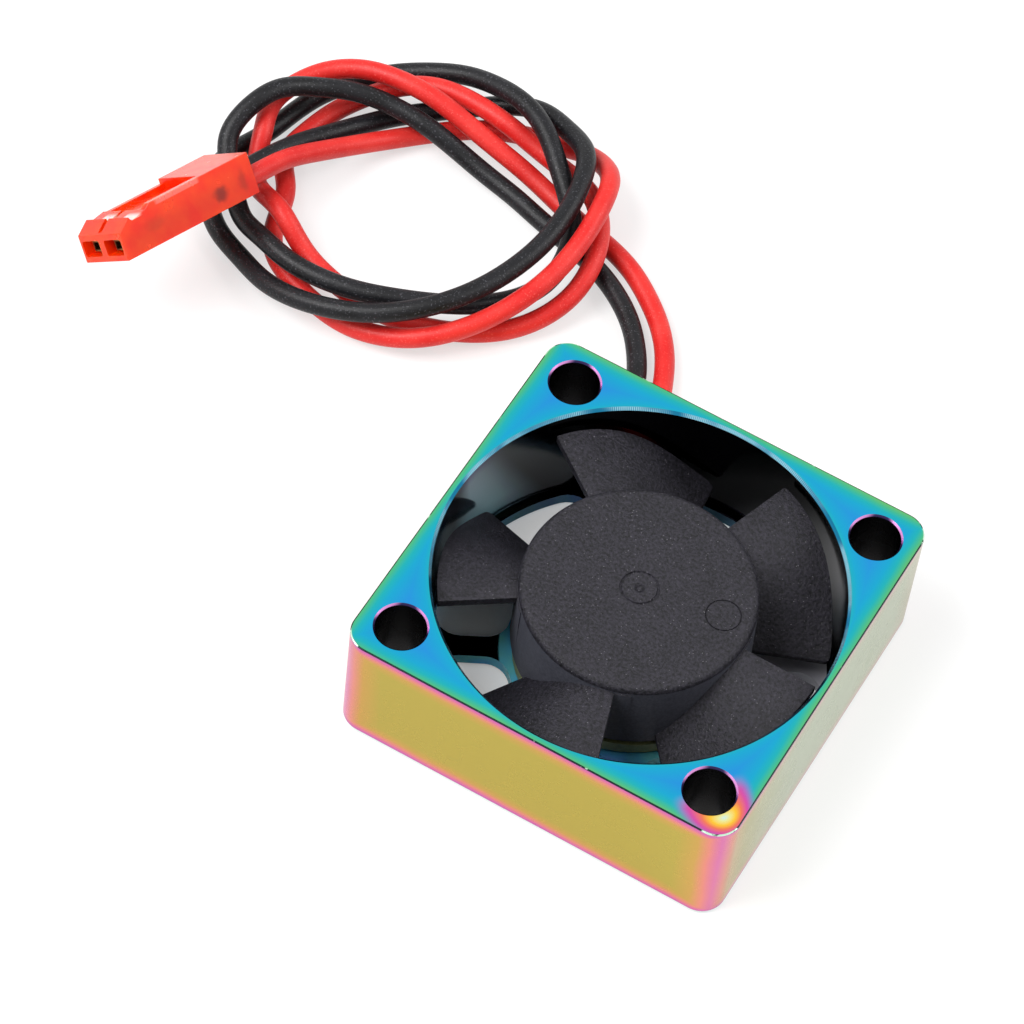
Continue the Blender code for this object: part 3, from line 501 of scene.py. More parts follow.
class Nodes(NodeTree):
    """The node tree of one material, which knows the position on the piece in millimetres."""

    def __init__(self, name: str) -> None:
        """Make a material with a Principled shader.

        Args:
            name: Name of the material.
        """
        self.material = bpy.data.materials.new(name)
        self.material.use_nodes = True
        super().__init__(self.material.node_tree)
        self.shader = self.tree.nodes["Principled BSDF"]
        coordinates = self.add("ShaderNodeTexCoord", output="Object")
        self.place = self.vector("SCALE", {0: coordinates, "Scale": 1.0 / MM})

    def surface(self, **inputs: Input) -> Material:
        """Feed the Principled shader.

        Args:
            inputs: Values by socket name, with underscores for spaces.

        Returns:
            The material.
        """
        for key, value in inputs.items():
            self.feed(self.shader.inputs[key.replace("_", " ")], value)
        return self.material

    def vector(self, operation: str, inputs: dict) -> Value:
        """Put vectors through a Vector Math node."""
        return self.add("ShaderNodeVectorMath", {"operation": operation}, inputs)

    def parts(self, vector: Value | None = None) -> list[Value]:
        """Split a vector, or else the position, into its three numbers."""
        split = self.add("ShaderNodeSeparateXYZ", inputs={0: vector or self.place})
        return [Value(self, socket) for socket in split.socket.node.outputs]

    def noise(self, scale: float, detail: float = 2.0, roughness: float = 0.5,
              stretch: Point | None = None) -> Value:
        """Read soft noise.

        Args:
            scale: Waves in a millimetre.
            detail: Number of finer layers.
            roughness: Weight of the finer layers.
            stretch: Factors on the position, for noise in lines.

        Returns:
            A value about 0.5.
        """
        place = self.vector("MULTIPLY", {0: self.place, 1: stretch}) if stretch else self.place
        inputs = {"Vector": place, "Scale": scale, "Detail": detail, "Roughness": roughness}
        return self.add("ShaderNodeTexNoise", None, inputs)

    def bump(self, height: Value, depth: float, strength: float) -> Value:
        """Turn a height from 0 to 1 into a normal, with its depth in millimetres."""
        inputs = {"Height": height, "Distance": depth * MM, "Strength": strength}
        return self.add("ShaderNodeBump", None, inputs, output="Normal")


@dataclass(frozen=True)
class TopCoat:
    """Coating on the flat faces, blue in the middle and green where the metal is narrow."""

    name: str
    side: float
    bore: float
    flare_hole: Flat | None = None
    flare_reach: float = 2.24
    flare_angle: float = -35.7
    flare_stretch: float = 0.62
    flare_end: Flat = (1.15, 2.0)
    flare_sweep: Flat = (-0.6, 0.8)
    rim_head_start: float = 0.85
    drift: float = 0.7
    stops: Stops = ladder((0.0, 106, 190, 116), (0.3, 72, 188, 146), (0.65, 40, 180, 186),
                          (1.15, 34, 170, 210), (2.4, 44, 150, 222))
    flare_stops: Stops = ladder((0.0, 206, 238, 228), (0.25, 236, 232, 150), (0.55, 252, 200, 60),
                                (0.85, 240, 124, 90), (1.2, 214, 82, 166), (1.75, 132, 108, 214))

    def build(self) -> Material:
        """Make the material.

        Returns:
            The coating, with its colour set by the distance to the nearest edge.
        """
        nodes = Nodes(self.name)
        x, y, _ = nodes.parts()
        to_side = self.side / 2 - abs(x).most(abs(y))
        to_bore = x.hypot(y) - self.bore
        edge = to_side.least(to_bore + self.rim_head_start) + nodes.noise(scale=0.12).swing(self.drift)
        colour = edge.ramp(self.stops)
        if self.flare_hole:
            colour = self.flared(x - self.flare_hole[0], y - self.flare_hole[1], colour)
        gloss = nodes.noise(scale=0.5, detail=4.0)
        grain = nodes.noise(scale=9.0, detail=3.0)
        return nodes.surface(Base_Color=colour, Metallic=1.0, Roughness=0.2 + 0.08 * gloss,
                             Normal=nodes.bump(grain, depth=0.004, strength=0.25))

    def flared(self, x: Value, y: Value, colour: Value) -> Value:
        """Add the warm crescent beside a screw hole.

        Args:
            x: Distance from the hole's axis along X.
            y: Distance from the hole's axis along Y.
            colour: Colour without the crescent.

        Returns:
            The colour with it.
        """
        ahead_x, ahead_y = polar(1.0, self.flare_angle)
        ahead = x * ahead_x + y * ahead_y
        aside = (y * ahead_x - x * ahead_y) * self.flare_stretch
        away = (x.hypot(y) - self.flare_reach).hypot(aside)
        share = away.drop(*self.flare_end) * ahead.step(*self.flare_sweep)
        return colour.mixed(away.ramp(self.flare_stops), share)


@dataclass(frozen=True)
class EdgeCoat:
    """Thin coating on the broken outer edge, painted dark as a reflection of dark surroundings, with painted
    glints that gather at the corners.
    """

    name: str
    side: float
    corner_reach: Flat = (2.6, 1.4)
    corner_glint: float = 0.22
    glint_levels: Flat = (0.63, 0.72)
    stops: Stops = ladder((0.0, 34, 44, 46), (1.0, 196, 232, 206))

    def build(self) -> Material:
        """Make the material.

        Returns:
            The coating.
        """
        nodes = Nodes(self.name)
        x, y, _ = nodes.parts()
        # Painted glints in spots, more of them at the corners, over a painted dark reflection
        glint_spots = nodes.noise(scale=0.9, detail=4.0, roughness=0.6)
        corner = (abs(x) + abs(y)).step(*(self.side - reach for reach in self.corner_reach))
        share = (glint_spots + corner * self.corner_glint).step(*self.glint_levels)
        return nodes.surface(Base_Color=share.ramp(self.stops), Metallic=1.0, Roughness=0.22)


@dataclass(frozen=True)
class SideCoat:
    """Coating on the outer sides, gold or pale with rosy borders."""

    name: str
    side: float
    height: float
    upright_rate: float = 1.5
    level_rate: float = 0.75
    drift: float = 0.6
    pale_slant: float = 0.6
    pale_reach: Flat = (4.0, 13.0)
    brush: Point = (0.6, 0.6, 14.0)
    gold: Stops = ladder((0.0, 190, 90, 176), (0.4, 210, 104, 160), (0.9, 222, 134, 118),
                         (1.5, 198, 156, 74), (2.6, 180, 162, 66))
    pale: Stops = ladder((0.0, 214, 160, 176), (0.6, 196, 172, 158), (1.4, 180, 178, 150),
                         (3.0, 174, 184, 156))

    def build(self) -> Material:
        """Make the material.

        Returns:
            The coating, pale on the +X and +Y sides and gold on the others.
        """
        nodes = Nodes(self.name)
        x, y, z = nodes.parts()
        upright = z.least(self.height - z) * self.upright_rate
        level = (self.side / 2 - abs(x).least(abs(y))) * self.level_rate
        edge = upright.least(level) + nodes.noise(scale=0.16, detail=3.0).swing(self.drift)
        pale_side = (x + y * self.pale_slant).step(*self.pale_reach)
        colour = edge.ramp(self.gold).mixed(edge.ramp(self.pale), pale_side)
        brushed = nodes.noise(scale=1.0, detail=3.0, stretch=self.brush)
        gloss = nodes.noise(scale=0.5, detail=4.0)
        return nodes.surface(Base_Color=colour, Metallic=1.0, Roughness=0.22 + 0.1 * gloss,
                             Normal=nodes.bump(brushed, depth=0.004, strength=0.12))


@dataclass(frozen=True)
class BoreCoat:
    """Mirror-smooth coating inside the bore, teal with mauve clouds, and a painted shade that stands for the
    dark blades and hub it reflects.
    """

    name: str
    low: float
    high: float
    # Where the painted shade ends and starts again along Y, where it starts along X, and its slant
    dawn: Flat = (-0.5, 2.0)
    dusk: Flat = (1.8, 6.8)
    right: Flat = (-4.0, 2.0)
    slant: float = 0.5
    # Colours of the painted shade, and where along X the first gives way to the second
    painted_shades: Stops = ladder((0.0, 32, 33, 36), (1.0, 34, 31, 42))
    painted_shade_change: Flat = (8.0, 14.0)
    mauve: Colour = screen(186, 166, 196)
    mauve_share: float = 0.4
    clouds: Flat = (0.52, 0.75)
    drift: float = 1.6
    ridges: Point = (0.3, 0.3, 22.0)

    def build(self) -> Material:
        """Make the material.

        Returns:
            The coating, whose colour runs up the bore.
        """
        nodes = Nodes(self.name)
        x, y, z = nodes.parts()
        cloud = nodes.noise(scale=0.22)
        stops = ladder((self.low, 40, 30, 64), (self.low + 0.7, 116, 170, 184),
                       (self.low + 2.6, 176, 220, 230), (self.high - 1.6, 190, 216, 230),
                       (self.high, 136, 116, 186))
        colour = (z + cloud.swing(self.drift)).ramp(stops)
        colour = colour.mixed(self.mauve, cloud.step(*self.clouds) * self.mauve_share)
        # Painted shade, standing for the dark blades and hub that the bore reflects, where the wall is far,
        # low along Y or towards +X
        far_shade = (y + (z - (self.low + self.high) / 2) * self.slant).step(*self.dusk)
        shade = far_shade.most(y.drop(*self.dawn)).most(x.step(*self.right))
        colour = colour.mixed(x.step(*self.painted_shade_change).ramp(self.painted_shades), shade)
        turning = nodes.noise(scale=1.0, stretch=self.ridges)
        return nodes.surface(Base_Color=colour, Metallic=1.0, Roughness=0.1 + 0.06 * cloud,
                             Normal=nodes.bump(turning, depth=0.003, strength=0.2))


@dataclass(frozen=True)
class LipCoat:
    """Chamfer round the bore, with fine cutter marks and painted glints along them."""

    name: str
    marks: float = 680.0
    gaps: Flat = (0.35, 0.6)
    stops: Stops = ladder((0.0, 32, 122, 160), (1.0, 178, 232, 244))

    def build(self) -> Material:
        """Make the material.

        Returns:
            The coating with ticks that run round the axis.
        """
        nodes = Nodes(self.name)
        x, y, _ = nodes.parts()
        ticks = (y.math("ARCTAN2", x) * self.marks).math("SINE") * 0.5 + 0.5
        marks_and_glints = ticks * nodes.noise(scale=0.3).step(*self.gaps)
        # The ticks are real cutter marks in the bump, and painted glints in the colour
        return nodes.surface(Base_Color=marks_and_glints.ramp(self.stops), Metallic=1.0, Roughness=0.16,
                             Normal=nodes.bump(marks_and_glints, depth=0.02, strength=0.5))


@dataclass(frozen=True)
class HoleCoat:
    """Coating in the screw holes, with painted shade below the mouth and painted rosy glints at the mouth."""

    name: str
    height: float
    pitch: float
    glints: tuple[float, ...] = (52.0, 157.0)
    glint: Colour = screen(222, 150, 214)
    glint_reach: Flat = (1.45, 1.85)
    glint_depth: Flat = (0.1, 0.16)
    drift: float = 0.2
    stops: Stops = ladder((0.0, 62, 50, 96), (0.14, 48, 40, 74), (0.3, 24, 22, 30), (2.4, 30, 27, 27))

    def build(self) -> Material:
        """Make the material.

        Returns:
            The coating, whose colour runs down the hole.
        """
        nodes = Nodes(self.name)
        x, y, z = nodes.parts()
        cloud = nodes.noise(scale=0.5)
        mouth = (self.height - z).least(z)
        # Painted shade darkens the colour down the hole, below the mouth
        colour = (mouth + cloud.swing(self.drift)).ramp(self.stops)
        across, along = (value - value.math("SIGN") * (self.pitch / 2) for value in (x, y))
        for angle in self.glints:
            toward_x, toward_y = polar(1.0, angle)
            facing = (across * toward_x + along * toward_y).step(*self.glint_reach)
            colour = colour.mixed(self.glint, facing * mouth.drop(*self.glint_depth))
        return nodes.surface(Base_Color=colour, Metallic=1.0, Roughness=0.2 + 0.15 * cloud)


@dataclass(frozen=True)
class FloorCoat:
    """Coating on the floor plate, its struts and the window walls."""

    name: str
    top: float
    plate: float
    # Painted colours: a reflection of the dark impeller on the struts, shade on the far side and lit grey to
    # the right
    dark: Colour = screen(22, 21, 30)
    far_shade: Colour = screen(50, 40, 78)
    lit: Colour = screen(168, 168, 176)
    stops: Stops = ladder((0.3, 110, 200, 190), (0.5, 96, 192, 222), (0.62, 84, 170, 232),
                          (0.8, 120, 130, 220))
    far_slant: float = 0.2
    far_reach: Flat = (-3.0, 6.0)
    lit_slant: float = 0.4
    lit_reach: Flat = (7.0, 10.0)
    # How far below the top and outside the plate the struts begin
    strut_depth: Flat = (0.05, 0.02)
    strut_start: Flat = (0.4, 0.6)
    least_metal: float = 0.15

    def build(self) -> Material:
        """Make the material.

        Returns:
            The coating, cyan with violet clouds, with a painted reflection of the dark impeller on the
            struts, painted shade on the far side and a painted lit grey to the right.
        """
        nodes = Nodes(self.name)
        x, y, z = nodes.parts()
        cloud = nodes.noise(scale=0.3)
        far_shade = (y + x * self.far_slant).step(*self.far_reach)
        strut_reflection = z.step(*(self.top - depth for depth in self.strut_depth))
        strut_reflection = strut_reflection * x.hypot(y).step(*(self.plate + start for start in self.strut_start))
        lit = (x + y * self.lit_slant).step(*self.lit_reach)
        colour = cloud.ramp(self.stops).mixed(self.far_shade, far_shade * (0.7 + 0.2 * cloud))
        colour = colour.mixed(self.dark, strut_reflection).mixed(self.lit, lit)
        metal = far_shade.most(strut_reflection) * (1.0 - lit) * (1.0 - self.least_metal) + self.least_metal
        return nodes.surface(Base_Color=colour, Metallic=metal, Roughness=0.18 + 0.1 * cloud)


@dataclass(frozen=True)
class MouldedBlack:
    """Black plastic from a spark-textured mould, with pale specks."""

    name: str
    dark: Colour = screen(10, 10, 13)
    light: Colour = screen(44, 42, 50)
    speck: Colour = screen(150, 148, 154)
    speck_share: float = 0.8
    speck_size: Flat = (0.06, 0.15)
    speck_waves: float = 4.4
    grain_depth: float = 0.12

    def build(self) -> Material:
        """Make the material.

        Returns:
            The plastic with its grain.
        """
        nodes = Nodes(self.name)
        grain = nodes.noise(scale=4.6, detail=3.0, roughness=0.7)
        broad = nodes.noise(scale=0.35, detail=3.0)
        spread = {"Vector": nodes.place, "Scale": self.speck_waves}
        dots = nodes.add("ShaderNodeTexVoronoi", None, spread, output="Distance")
        sparse = nodes.noise(scale=1.7, detail=1.0).step(0.5, 0.58)
        specks = dots.drop(*self.speck_size) * sparse * self.speck_share
        shade = (grain + broad * 0.15).ramp(((0.42, self.dark), (0.72, self.light)))
        rough = nodes.bump(grain, self.grain_depth, strength=1.0)
        return nodes.surface(Base_Color=shade.mixed(self.speck, specks), Roughness=0.4 + 0.2 * grain,
                             Specular_IOR_Level=0.24, Normal=rough)


@dataclass(frozen=True)
class Silicone:
    """Soft silicone of a lead, with faint dust and pressed marks."""

    name: str
    colour: Colour
    faded: Colour
    dust: Colour
    roughness: float
    gloss: float

    def build(self) -> Material:
        """Make the material.

        Returns:
            The silicone.
        """
        nodes = Nodes(self.name)
        bloom = nodes.noise(scale=0.45, detail=4.0)
        fine = nodes.noise(scale=6.0, detail=3.0, roughness=0.6)
        dust = nodes.noise(scale=7.0).step(0.6, 0.7) * 0.5
        colour = bloom.ramp(((0.3, self.colour), (0.75, self.faded))).mixed(self.dust, dust)
        marks = nodes.bump(fine + bloom * 2.0, depth=0.03, strength=0.8)
        return nodes.surface(Base_Color=colour, Roughness=self.roughness + 0.14 * bloom,
                             Specular_IOR_Level=self.gloss, Normal=marks)


@dataclass(frozen=True)
class ClearRed:
    """Translucent red moulding of the connector, with painted shade of the contacts inside, painted glare on
    top and painted highlights on the near rail and the latch wedges.
    """

    name: str
    place: Point
    turn: Point
    width: float
    height: float
    rail_width: float
    colour: Colour = screen(244, 40, 8)
    glow: Colour = screen(252, 72, 6)
    shade: Colour = screen(120, 30, 16)
    pale: Colour = screen(250, 142, 132)
    gleam: Colour = screen(250, 236, 232)
    # Distance from the front, height, half-length, half-height and strength of each painted shade patch
    painted_shade_patches: tuple[tuple[float, ...], ...] = (
        (3.2, 1.6, 1.1, 0.5, 0.22), (9.7, 1.2, 0.75, 0.55, 0.8), (12.05, 1.35, 0.45, 0.85, 0.42),
    )
    patch_soft: Flat = (0.35, 1.35)
    blur: float = 0.7
    # First and last distance, least height and lit share across of the painted highlight on the polished
    # latch wedges
    wedge: Flat = (1.42, 2.74)
    wedge_soft: float = 0.05
    wedge_fade: Flat = (0.9, 0.2)
    wedge_foot: Flat = (2.54, 2.58)
    wedge_lit: Flat = (0.45, 0.6)
    # First and last distance of the painted highlight on the near rail, with its softness, and its depth
    # below the top
    rail: Flat = (3.7, 8.3)
    rail_soft: Flat = (0.4, 0.3)
    rail_depth: Flat = (0.42, 0.34)
    rail_edge: float = 0.1
    top_depth: Flat = (0.06, 0.02)

    def build(self) -> Material:
        """Make the material.

        Returns:
            The plastic, part clear and part milky, with painted shade, painted glare and painted highlights.
        """
        nodes = Nodes(self.name)
        turn = tuple(math.radians(angle) for angle in self.turn)
        own = nodes.add("ShaderNodeMapping", {"vector_type": "TEXTURE"},
                        {"Vector": nodes.place, "Location": self.place, "Rotation": turn})
        spot = nodes.parts(own)
        along, _, up = spot
        flow = nodes.noise(scale=0.5, detail=3.0)
        blur = nodes.noise(scale=1.1).swing(self.blur)
        colour = flow.ramp(((0.3, self.colour), (0.7, self.glow)))
        # Painted shade of the contacts inside the clear plastic
        for distance, height, half_length, half_height, strength in self.painted_shade_patches:
            wide = (along + blur - distance) / half_length
            tall = (up + blur - height) / half_height
            colour = colour.mixed(self.shade, wide.hypot(tall).drop(*self.patch_soft) * strength)
        # Painted glare on the top, and painted highlights on the near rail and the latch wedges
        top = up.step(*(self.height - depth for depth in self.top_depth)) * (0.04 + flow * 0.46)
        colour = colour.mixed(self.pale, top.most(self.rail_highlight(*spot) * 0.7))
        colour = colour.mixed(self.gleam, self.wedges(*spot) * 0.9)
        fine = nodes.noise(scale=4.0)
        return nodes.surface(Base_Color=colour, Roughness=0.2 + 0.12 * flow, Transmission_Weight=0.3, IOR=1.5,
                             Specular_IOR_Level=0.3, Subsurface_Weight=0.4, Subsurface_Scale=1.5 * MM,
                             Subsurface_Radius=(1.0, 0.3, 0.08),
                             Normal=nodes.bump(fine, depth=0.02, strength=0.4))

    def wedges(self, along: Value, across: Value, up: Value) -> Value:
        """Mark the lit halves of the two latch wedges.

        Args:
            along: Distance from the front.
            across: Distance from the middle.
            up: Height above the underside.

        Returns:
            A share.
        """
        first, last = self.wedge
        bright = along.step(first - self.wedge_soft, first + self.wedge_soft)
        bright = bright * along.drop(*(last - fade for fade in self.wedge_fade))
        half = ((across * 2.0 + self.width) / self.width).math("FRACT")
        return bright * up.step(*self.wedge_foot) * half.drop(*self.wedge_lit)

    def rail_highlight(self, along: Value, across: Value, up: Value) -> Value:
        """Mark the painted highlight on the rail on the near side.

        Args:
            along: Distance from the front.
            across: Distance from the middle.
            up: Height above the underside.

        Returns:
            A share.
        """
        edge = self.rail_width - self.width / 2
        beam = up.step(*(self.height - depth for depth in self.rail_depth))
        beam = beam * across.drop(edge, edge + self.rail_edge)
        (start, end), (rise, fall) = self.rail, self.rail_soft
        return beam * along.step(start, start + rise) * along.drop(end - fall, end)


@dataclass(frozen=True)
class PlainMetal:
    """Turned, drawn or stamped metal of an inner piece."""

    name: str
    colour: Colour
    shade: Colour
    roughness: float
    grain: Point = (0.5, 0.5, 8.0)

    def build(self) -> Material:
        """Make the material.

        Returns:
            The metal with its tool marks.
        """
        nodes = Nodes(self.name)
        lines = nodes.noise(scale=1.0, detail=3.0, stretch=self.grain)
        stain = nodes.noise(scale=0.6, detail=3.0)
        colour = (lines * 0.5 + stain * 0.5).ramp(((0.3, self.shade), (0.7, self.colour)))
        return nodes.surface(Base_Color=colour, Metallic=1.0, Roughness=self.roughness + 0.15 * stain,
                             Normal=nodes.bump(lines, depth=0.01, strength=0.35))


@dataclass(frozen=True)
class PlainSolid:
    """Plastic, laminate or ferrite of an inner piece."""

    name: str
    colour: Colour
    shade: Colour
    roughness: float
    scale: float = 3.0

    def build(self) -> Material:
        """Make the material.

        Returns:
            The material with a fine grain.
        """
        nodes = Nodes(self.name)
        grain = nodes.noise(self.scale, detail=4.0, roughness=0.6)
        colour = grain.ramp(((0.3, self.shade), (0.7, self.colour)))
        return nodes.surface(Base_Color=colour, Roughness=self.roughness + 0.15 * grain,
                             Normal=nodes.bump(grain, depth=0.02, strength=0.4))


class Zone(Enum):
    """Parts of the frame's surface that have their own coating."""

    TOP = 0
    SIDE = 1
    BORE = 2
    LIP = 3
    HOLE = 4
    FLOOR = 5
    REAR = 6
    EDGE = 7


@dataclass
class FrameHousing:
    """The machined square frame."""

    side: float
    height: float
    corner: float = 1.8
    edge_chamfer: float = 0.1
    bore: float = 14.35
    bore_chamfer: float = 0.2
    floor: float = 1.0
    ledge_width: float = 0.35
    ledge_height: float = 0.45
    hole_pitch: float = 24.0
    hole: float = 1.8
    hole_chamfer: float = 0.13
    plate: float = 8.6
    window: float = 13.9
    window_corner: float = 1.8
    first_strut: float = 29.1
    strut_widths: tuple[float, ...] = (1.6, 4.8, 1.6, 1.6)
    tube_seat: float = 3.55
    slot_width: float = 4.0
    slot_low: float = 0.4
    slot_high: float = 2.5
    slot_start: float = 8.2
    over: float = 0.5
    # Upright share of the normal that parts level, chamfered and upright faces
    level_normal: float = 0.97
    chamfer_normal: float = 0.95
    side_normal: float = 0.8
    edge_normal: float = 0.2
    rear_normal: float = -0.3

    def blank(self) -> Shape:
        """Make the square block.

        Returns:
            The block with round corners and broken edges.
        """
        half = self.side / 2
        shape = Shape.box((-half, -half, 0.0), (half, half, self.height))
        shape.bevel(self.corner, lambda edge: run(edge, 2) > self.corner, segments=14)
        return shape.bevel(self.edge_chamfer, lambda edge: run(edge, 2) < Shape.WELD)

    def bore_tool(self) -> Shape:
        """Make the form that the bore, its chamfer and its ledge take away.

        Returns:
            The turned form.
        """
        top = self.height
        return Shape.turned((
            (0.0, top + self.over),
            (self.bore + self.bore_chamfer + self.over, top + self.over),
            (self.bore, top - self.bore_chamfer),
            (self.bore, self.floor + self.ledge_height),
            (self.bore - self.ledge_width, self.floor),
            (0.0, self.floor),
        ), steps=216)

    def hole_tool(self, index: int) -> Shape:
        """Make the form of one screw hole with its chamfers.

        Args:
            index: Which corner.

        Returns:
            The form in its place.
        """
        wide = self.hole + self.hole_chamfer + self.over
        shape = Shape.turned((
            (0.0, self.height + self.over),
            (wide, self.height + self.over),
            (self.hole, self.height - self.hole_chamfer),
            (self.hole, self.hole_chamfer),
            (wide, -self.over),
            (0.0, -self.over),
        ), steps=64)
        return shape.shift(*polar(self.hole_pitch / math.sqrt(2), 45.0 + 90.0 * index), 0.0)

    def round_end(self, angle: float, width: float, circle: float, outer: bool, side: float) -> list[Flat]:
        """Give the round where a strut's flank meets one rim of a window.

        Args:
            angle: Angle of the strut.
            width: Its width.
            circle: Radius of the rim.
            outer: Whether that is the outer rim.
            side: 1 for the flank ahead of the strut, -1 for the one behind.

        Returns:
            Points from the flank to the rim.
        """
        radius = self.window_corner
        y = width / 2 + radius
        x = math.sqrt((circle - radius if outer else circle + radius) ** 2 - y ** 2)
        last = bearing(x, y) if outer else bearing(x, y) - 180.0
        flank = arc((x, y), radius, -90.0, last, 8)
        return [polar(math.hypot(px, py), angle + side * bearing(px, py)) for px, py in flank]

    def window_tool(self, index: int) -> Shape:
        """Make the form of the air window after one strut.

        Args:
            index: Which strut.

        Returns:
            The form, which passes through the floor.
        """
        count = len(self.strut_widths)
        start = self.first_strut + index * 360.0 / count
        end = start + 360.0 / count
        first, last = self.strut_widths[index], self.strut_widths[(index + 1) % count]
        outer_start = self.round_end(start, first, self.window, True, 1.0)
        outer_end = self.round_end(end, last, self.window, True, -1.0)[::-1]
        inner_end = self.round_end(end, last, self.plate, False, -1.0)
        inner_start = self.round_end(start, first, self.plate, False, 1.0)[::-1]
        outline = outer_start + self.rim(self.window, outer_start[-1], outer_end[0], 36) + outer_end
        outline += inner_end + self.rim(self.plate, inner_end[-1], inner_start[0], 24) + inner_start
        return Shape.prism(outline, -self.over, self.floor + self.over)

    @staticmethod
    def rim(circle: float, before: Flat, after: Flat, steps: int) -> list[Flat]:
        """Give the points of a rim between two others.

        Args:
            circle: Radius of the rim.
            before: Point ahead of the first.
            after: Point behind the last.
            steps: Number of chords.

        Returns:
            The points, without those two.
        """
        first = bearing(*before)
        sweep = (bearing(*after) - first + 180.0) % 360.0 - 180.0
        return arc(AXIS, circle, first, first + sweep, steps)[1:-1]

    def slot_tool(self) -> Shape:
        """Make the form of the leads' channel and the slot in the wall.

        Returns:
            The form in its place.
        """
        half = self.slot_width / 2
        shape = Shape.box((self.slot_start, -half, self.slot_low), (self.side, half, self.slot_high))
        return shape.turn(self.first_strut + 90.0)

    def zone(self, centre: Vector, normal: Vector) -> Zone:
        """Tell which coating a face has.

        Args:
            centre: Middle of the face in millimetres.
            normal: Its direction.

        Returns:
            The zone.
        """
        reach = max(abs(centre.x), abs(centre.y))
        from_hole = math.hypot(abs(centre.x) - self.hole_pitch / 2, abs(centre.y) - self.hole_pitch / 2)
        inside = math.hypot(centre.x, centre.y) < self.bore + 1.5 * self.bore_chamfer
        outward = centre.x * normal.x + centre.y * normal.y > 0.0
        level = abs(normal.z) >= self.chamfer_normal
        if from_hole < self.hole + self.hole_chamfer and not level:
            return Zone.HOLE
        if inside and centre.z > self.height - self.bore_chamfer and not level:
            return Zone.LIP
        if centre.z > self.height - 2 * self.edge_chamfer and normal.z > self.edge_normal:
            return Zone.TOP if normal.z > self.level_normal else Zone.EDGE
        if outward and reach > self.side / 2 - self.corner and abs(normal.z) < self.side_normal:
            return Zone.SIDE
        if centre.z < 2 * self.edge_chamfer and normal.z < self.rear_normal:
            return Zone.REAR
        if inside and centre.z > self.floor + Shape.WELD:
            return Zone.BORE
        return Zone.FLOOR

    def build(self) -> list[Piece]:
        """Make the frame and coat it.

        Returns:
            The finished piece.
        """
        item = self.blank().piece("fan_frame")
        windows = [self.window_tool(index) for index in range(len(self.strut_widths))]
        holes = [self.hole_tool(index) for index in range(4)]
        seat = Shape.plug(self.tube_seat, -self.over, self.floor + self.over, 64)
        apply_tools(item, Join.CUT, self.bore_tool(), self.slot_tool(), *windows, *holes, seat)
        half = self.hole_pitch / 2
        coats = {
            Zone.TOP: TopCoat("coat_top", self.side, self.bore + self.bore_chamfer, (half, -half)),
            Zone.SIDE: SideCoat("coat_side", self.side, self.height),
            Zone.BORE: BoreCoat("coat_bore", self.floor, self.height),
            Zone.LIP: LipCoat("coat_lip"),
            Zone.HOLE: HoleCoat("coat_hole", self.height, self.hole_pitch),
            Zone.FLOOR: FloorCoat("coat_floor", self.floor, self.plate),
            Zone.REAR: TopCoat("coat_rear", self.side, self.window),
            Zone.EDGE: EdgeCoat("coat_edge", self.side),
        }
        dress(item, *(coats[zone].build() for zone in Zone))
        for face in item.data.polygons:
            face.material_index = self.zone(face.center, face.normal).value
        return [publish(item, "stator", "frame", sharp=24.0)]


